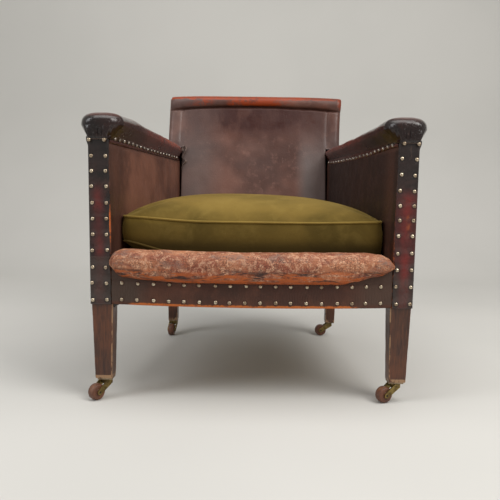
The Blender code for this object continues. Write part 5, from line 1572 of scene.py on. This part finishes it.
def build_wheels():
    """Turned wooden wheels with a rounded tread, a raised rim line on each face and the bore for the axle."""
    half = 0.009
    profile = [(0.0029, half - 0.0008), (0.0050, half), (0.0062, half), (0.0068, half - 0.0006),
               (0.0080, half - 0.0006), (0.0086, half), (0.0138, half)]
    for step in range(1, 6):
        angle = math.pi / 2 * step / 5
        profile.append((0.0138 + 0.0030 * math.sin(angle), half - 0.0040 * (1.0 - math.cos(angle))))
    profile += [(0.0173, 0.0030), (WHEEL_RADIUS, 0.0)]
    profile += [(r, -h) for r, h in reversed(profile[:-1])]
    for corner in ("front_left", "front_right", "rear_left", "rear_right"):
        low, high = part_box("caster_wheel_" + corner)
        joint = next(j for j in frame["joints"] if j["name"] == "roll_" + corner)
        centre = (Vector(low) + Vector(high)) / 2
        axis = Vector(joint["axis"]).normalized()
        turn = Vector((0.0, 0.0, 1.0)).rotation_difference(axis).to_matrix().to_4x4()
        verts, faces = lathe(profile, 48)
        verts = [turn @ v + centre for v in verts]

        def wear(co, centre=centre, axis=axis):
            offset = co - centre
            radius = (offset - axis * offset.dot(axis)).length
            return smooth((radius - 0.0155) / 0.0015) * 0.6

        make_piece("wheel_timber_" + corner, verts, faces, wheel_wood, body="wheel_" + corner,
                   replaces=("caster_wheel_" + corner,), slot="wheel_wood", sharp=40,
                   paint={"wear": wear, "dirt_and_shade": 0.2})


def dress_cad_nodes():
    """Gives each CAD node that stays its node material, and rounds the edges of the hard ones a little."""
    finishes = {
        "side_rail": beech, "arm_rail": beech, "front_rail": beech, "back_seat_rail": beech,
        "back_lower_rail": beech, "back_top_rail": beech, "caster_plate": plate_metal, "caster_horn": brass,
        "caster_axle": iron, "seat_spring": steel, "hessian": hessian, "webbing": webbing,
        "seat_deck": deck_cloth,
    }
    for name, obj in frame["nodes"].items():
        finish = next((m for key, m in finishes.items() if name.startswith(key)), outer_leather)
        obj.data.materials.clear()
        obj.data.materials.append(finish)
        if name.startswith(("caster_plate", "caster_horn")):
            bevel = obj.modifiers.new("edges", "BEVEL")
            bevel.width = 0.0005
            bevel.segments = 2
            bevel.limit_method = "ANGLE"


# Room, light and camera


def sweep_paint():
    f = Finish("pale_sweep")
    f.under(f.band(f.noise(1.3, 2.0), 0.3, 0.7, 0.0, 0.25), "#cac9c5", "#d9d7d3")
    return f.done(0.85, Specular_IOR_Level=0.2)


def build_room():
    profile = [(-6.0, 0.0), (1.5, 0.0)]
    for step in range(1, 13):
        angle = math.pi / 2 * step / 12
        profile.append((1.5 + 1.0 * math.sin(angle), 1.0 - 1.0 * math.cos(angle)))
    profile.append((2.5, 6.0))
    verts = [Vector((x, y, z)) for y, z in profile for x in (-8.0, 8.0)]
    faces = [(2 * i, 2 * i + 1, 2 * i + 3, 2 * i + 2) for i in range(len(profile) - 1)]
    mesh = bpy.data.meshes.new("sweep")
    mesh.from_pydata(verts, [], faces)
    mesh.shade_smooth()
    mesh.materials.append(sweep_paint())
    sweep = bpy.data.objects.new("sweep", mesh)
    bpy.context.scene.collection.objects.link(sweep)


def add_light(name, place, target, size, power, tint):
    data = bpy.data.lights.new(name, "AREA")
    data.shape = "RECTANGLE"
    data.size, data.size_y = size
    data.energy = power
    data.color = tint
    lamp = bpy.data.objects.new(name, data)
    lamp.location = place
    lamp.rotation_euler = (Vector(target) - Vector(place)).to_track_quat("-Z", "Y").to_euler()
    bpy.context.scene.collection.objects.link(lamp)


def build_light():
    scene = bpy.context.scene
    room = bpy.data.worlds.new("soft_room")
    room.use_nodes = True
    sky = room.node_tree.nodes["Background"]
    sky.inputs["Color"].default_value = (1.0, 0.97, 0.93, 1.0)
    sky.inputs["Strength"].default_value = 0.42
    scene.world = room
    add_light("key", (1.7, -1.5, 2.5), (-0.05, 0.0, 0.4), (1.6, 1.6), 55.0, (1.0, 0.98, 0.95))
    add_light("window", (-2.2, -1.3, 2.0), (0.0, 0.0, 0.45), (1.0, 1.6), 20.0, (0.96, 0.98, 1.0))
    add_light("ceiling", (0.0, -0.5, 3.0), (0.0, -0.1, 0.4), (2.4, 2.0), 42.0, (1.0, 0.99, 0.97))
    scene.view_settings.view_transform = "Standard"


def build_camera():
    yaw, pitch, roll = -0.0045, 0.0891, 0.0141
    forward = Vector((math.sin(yaw) * math.cos(pitch), math.cos(yaw) * math.cos(pitch), -math.sin(pitch)))
    right = Vector((math.cos(yaw), -math.sin(yaw), 0.0))
    up = right.cross(forward)
    tilted_right = math.cos(roll) * right + math.sin(roll) * up
    tilted_up = -math.sin(roll) * right + math.cos(roll) * up
    data = bpy.data.cameras.new("camera")
    data.sensor_width = 36.0
    data.lens = 43.2
    data.clip_start = 0.05
    camera = bpy.data.objects.new("camera", data)
    turn = Matrix((tilted_right, tilted_up, -forward)).transposed().to_4x4()
    camera.matrix_world = Matrix.Translation((0.0011, -1.5840, 0.4336)) @ turn
    bpy.context.scene.collection.objects.link(camera)
    bpy.context.scene.camera = camera


build_camera()
build_light()
build_room()
dress_cad_nodes()
build_legs()
build_wheels()
for side, sign in SIDES.items():
    build_facing(side, sign)
    build_arm_roll(side, sign)
    build_inner_arm(side, sign)
    build_outer_arm(side, sign)
    build_arm_nails(side, sign)
    build_roll_margin(side, sign)
build_torn_strip()
build_corner_scrap()
build_border()
build_lip()
build_cushion()
build_back()
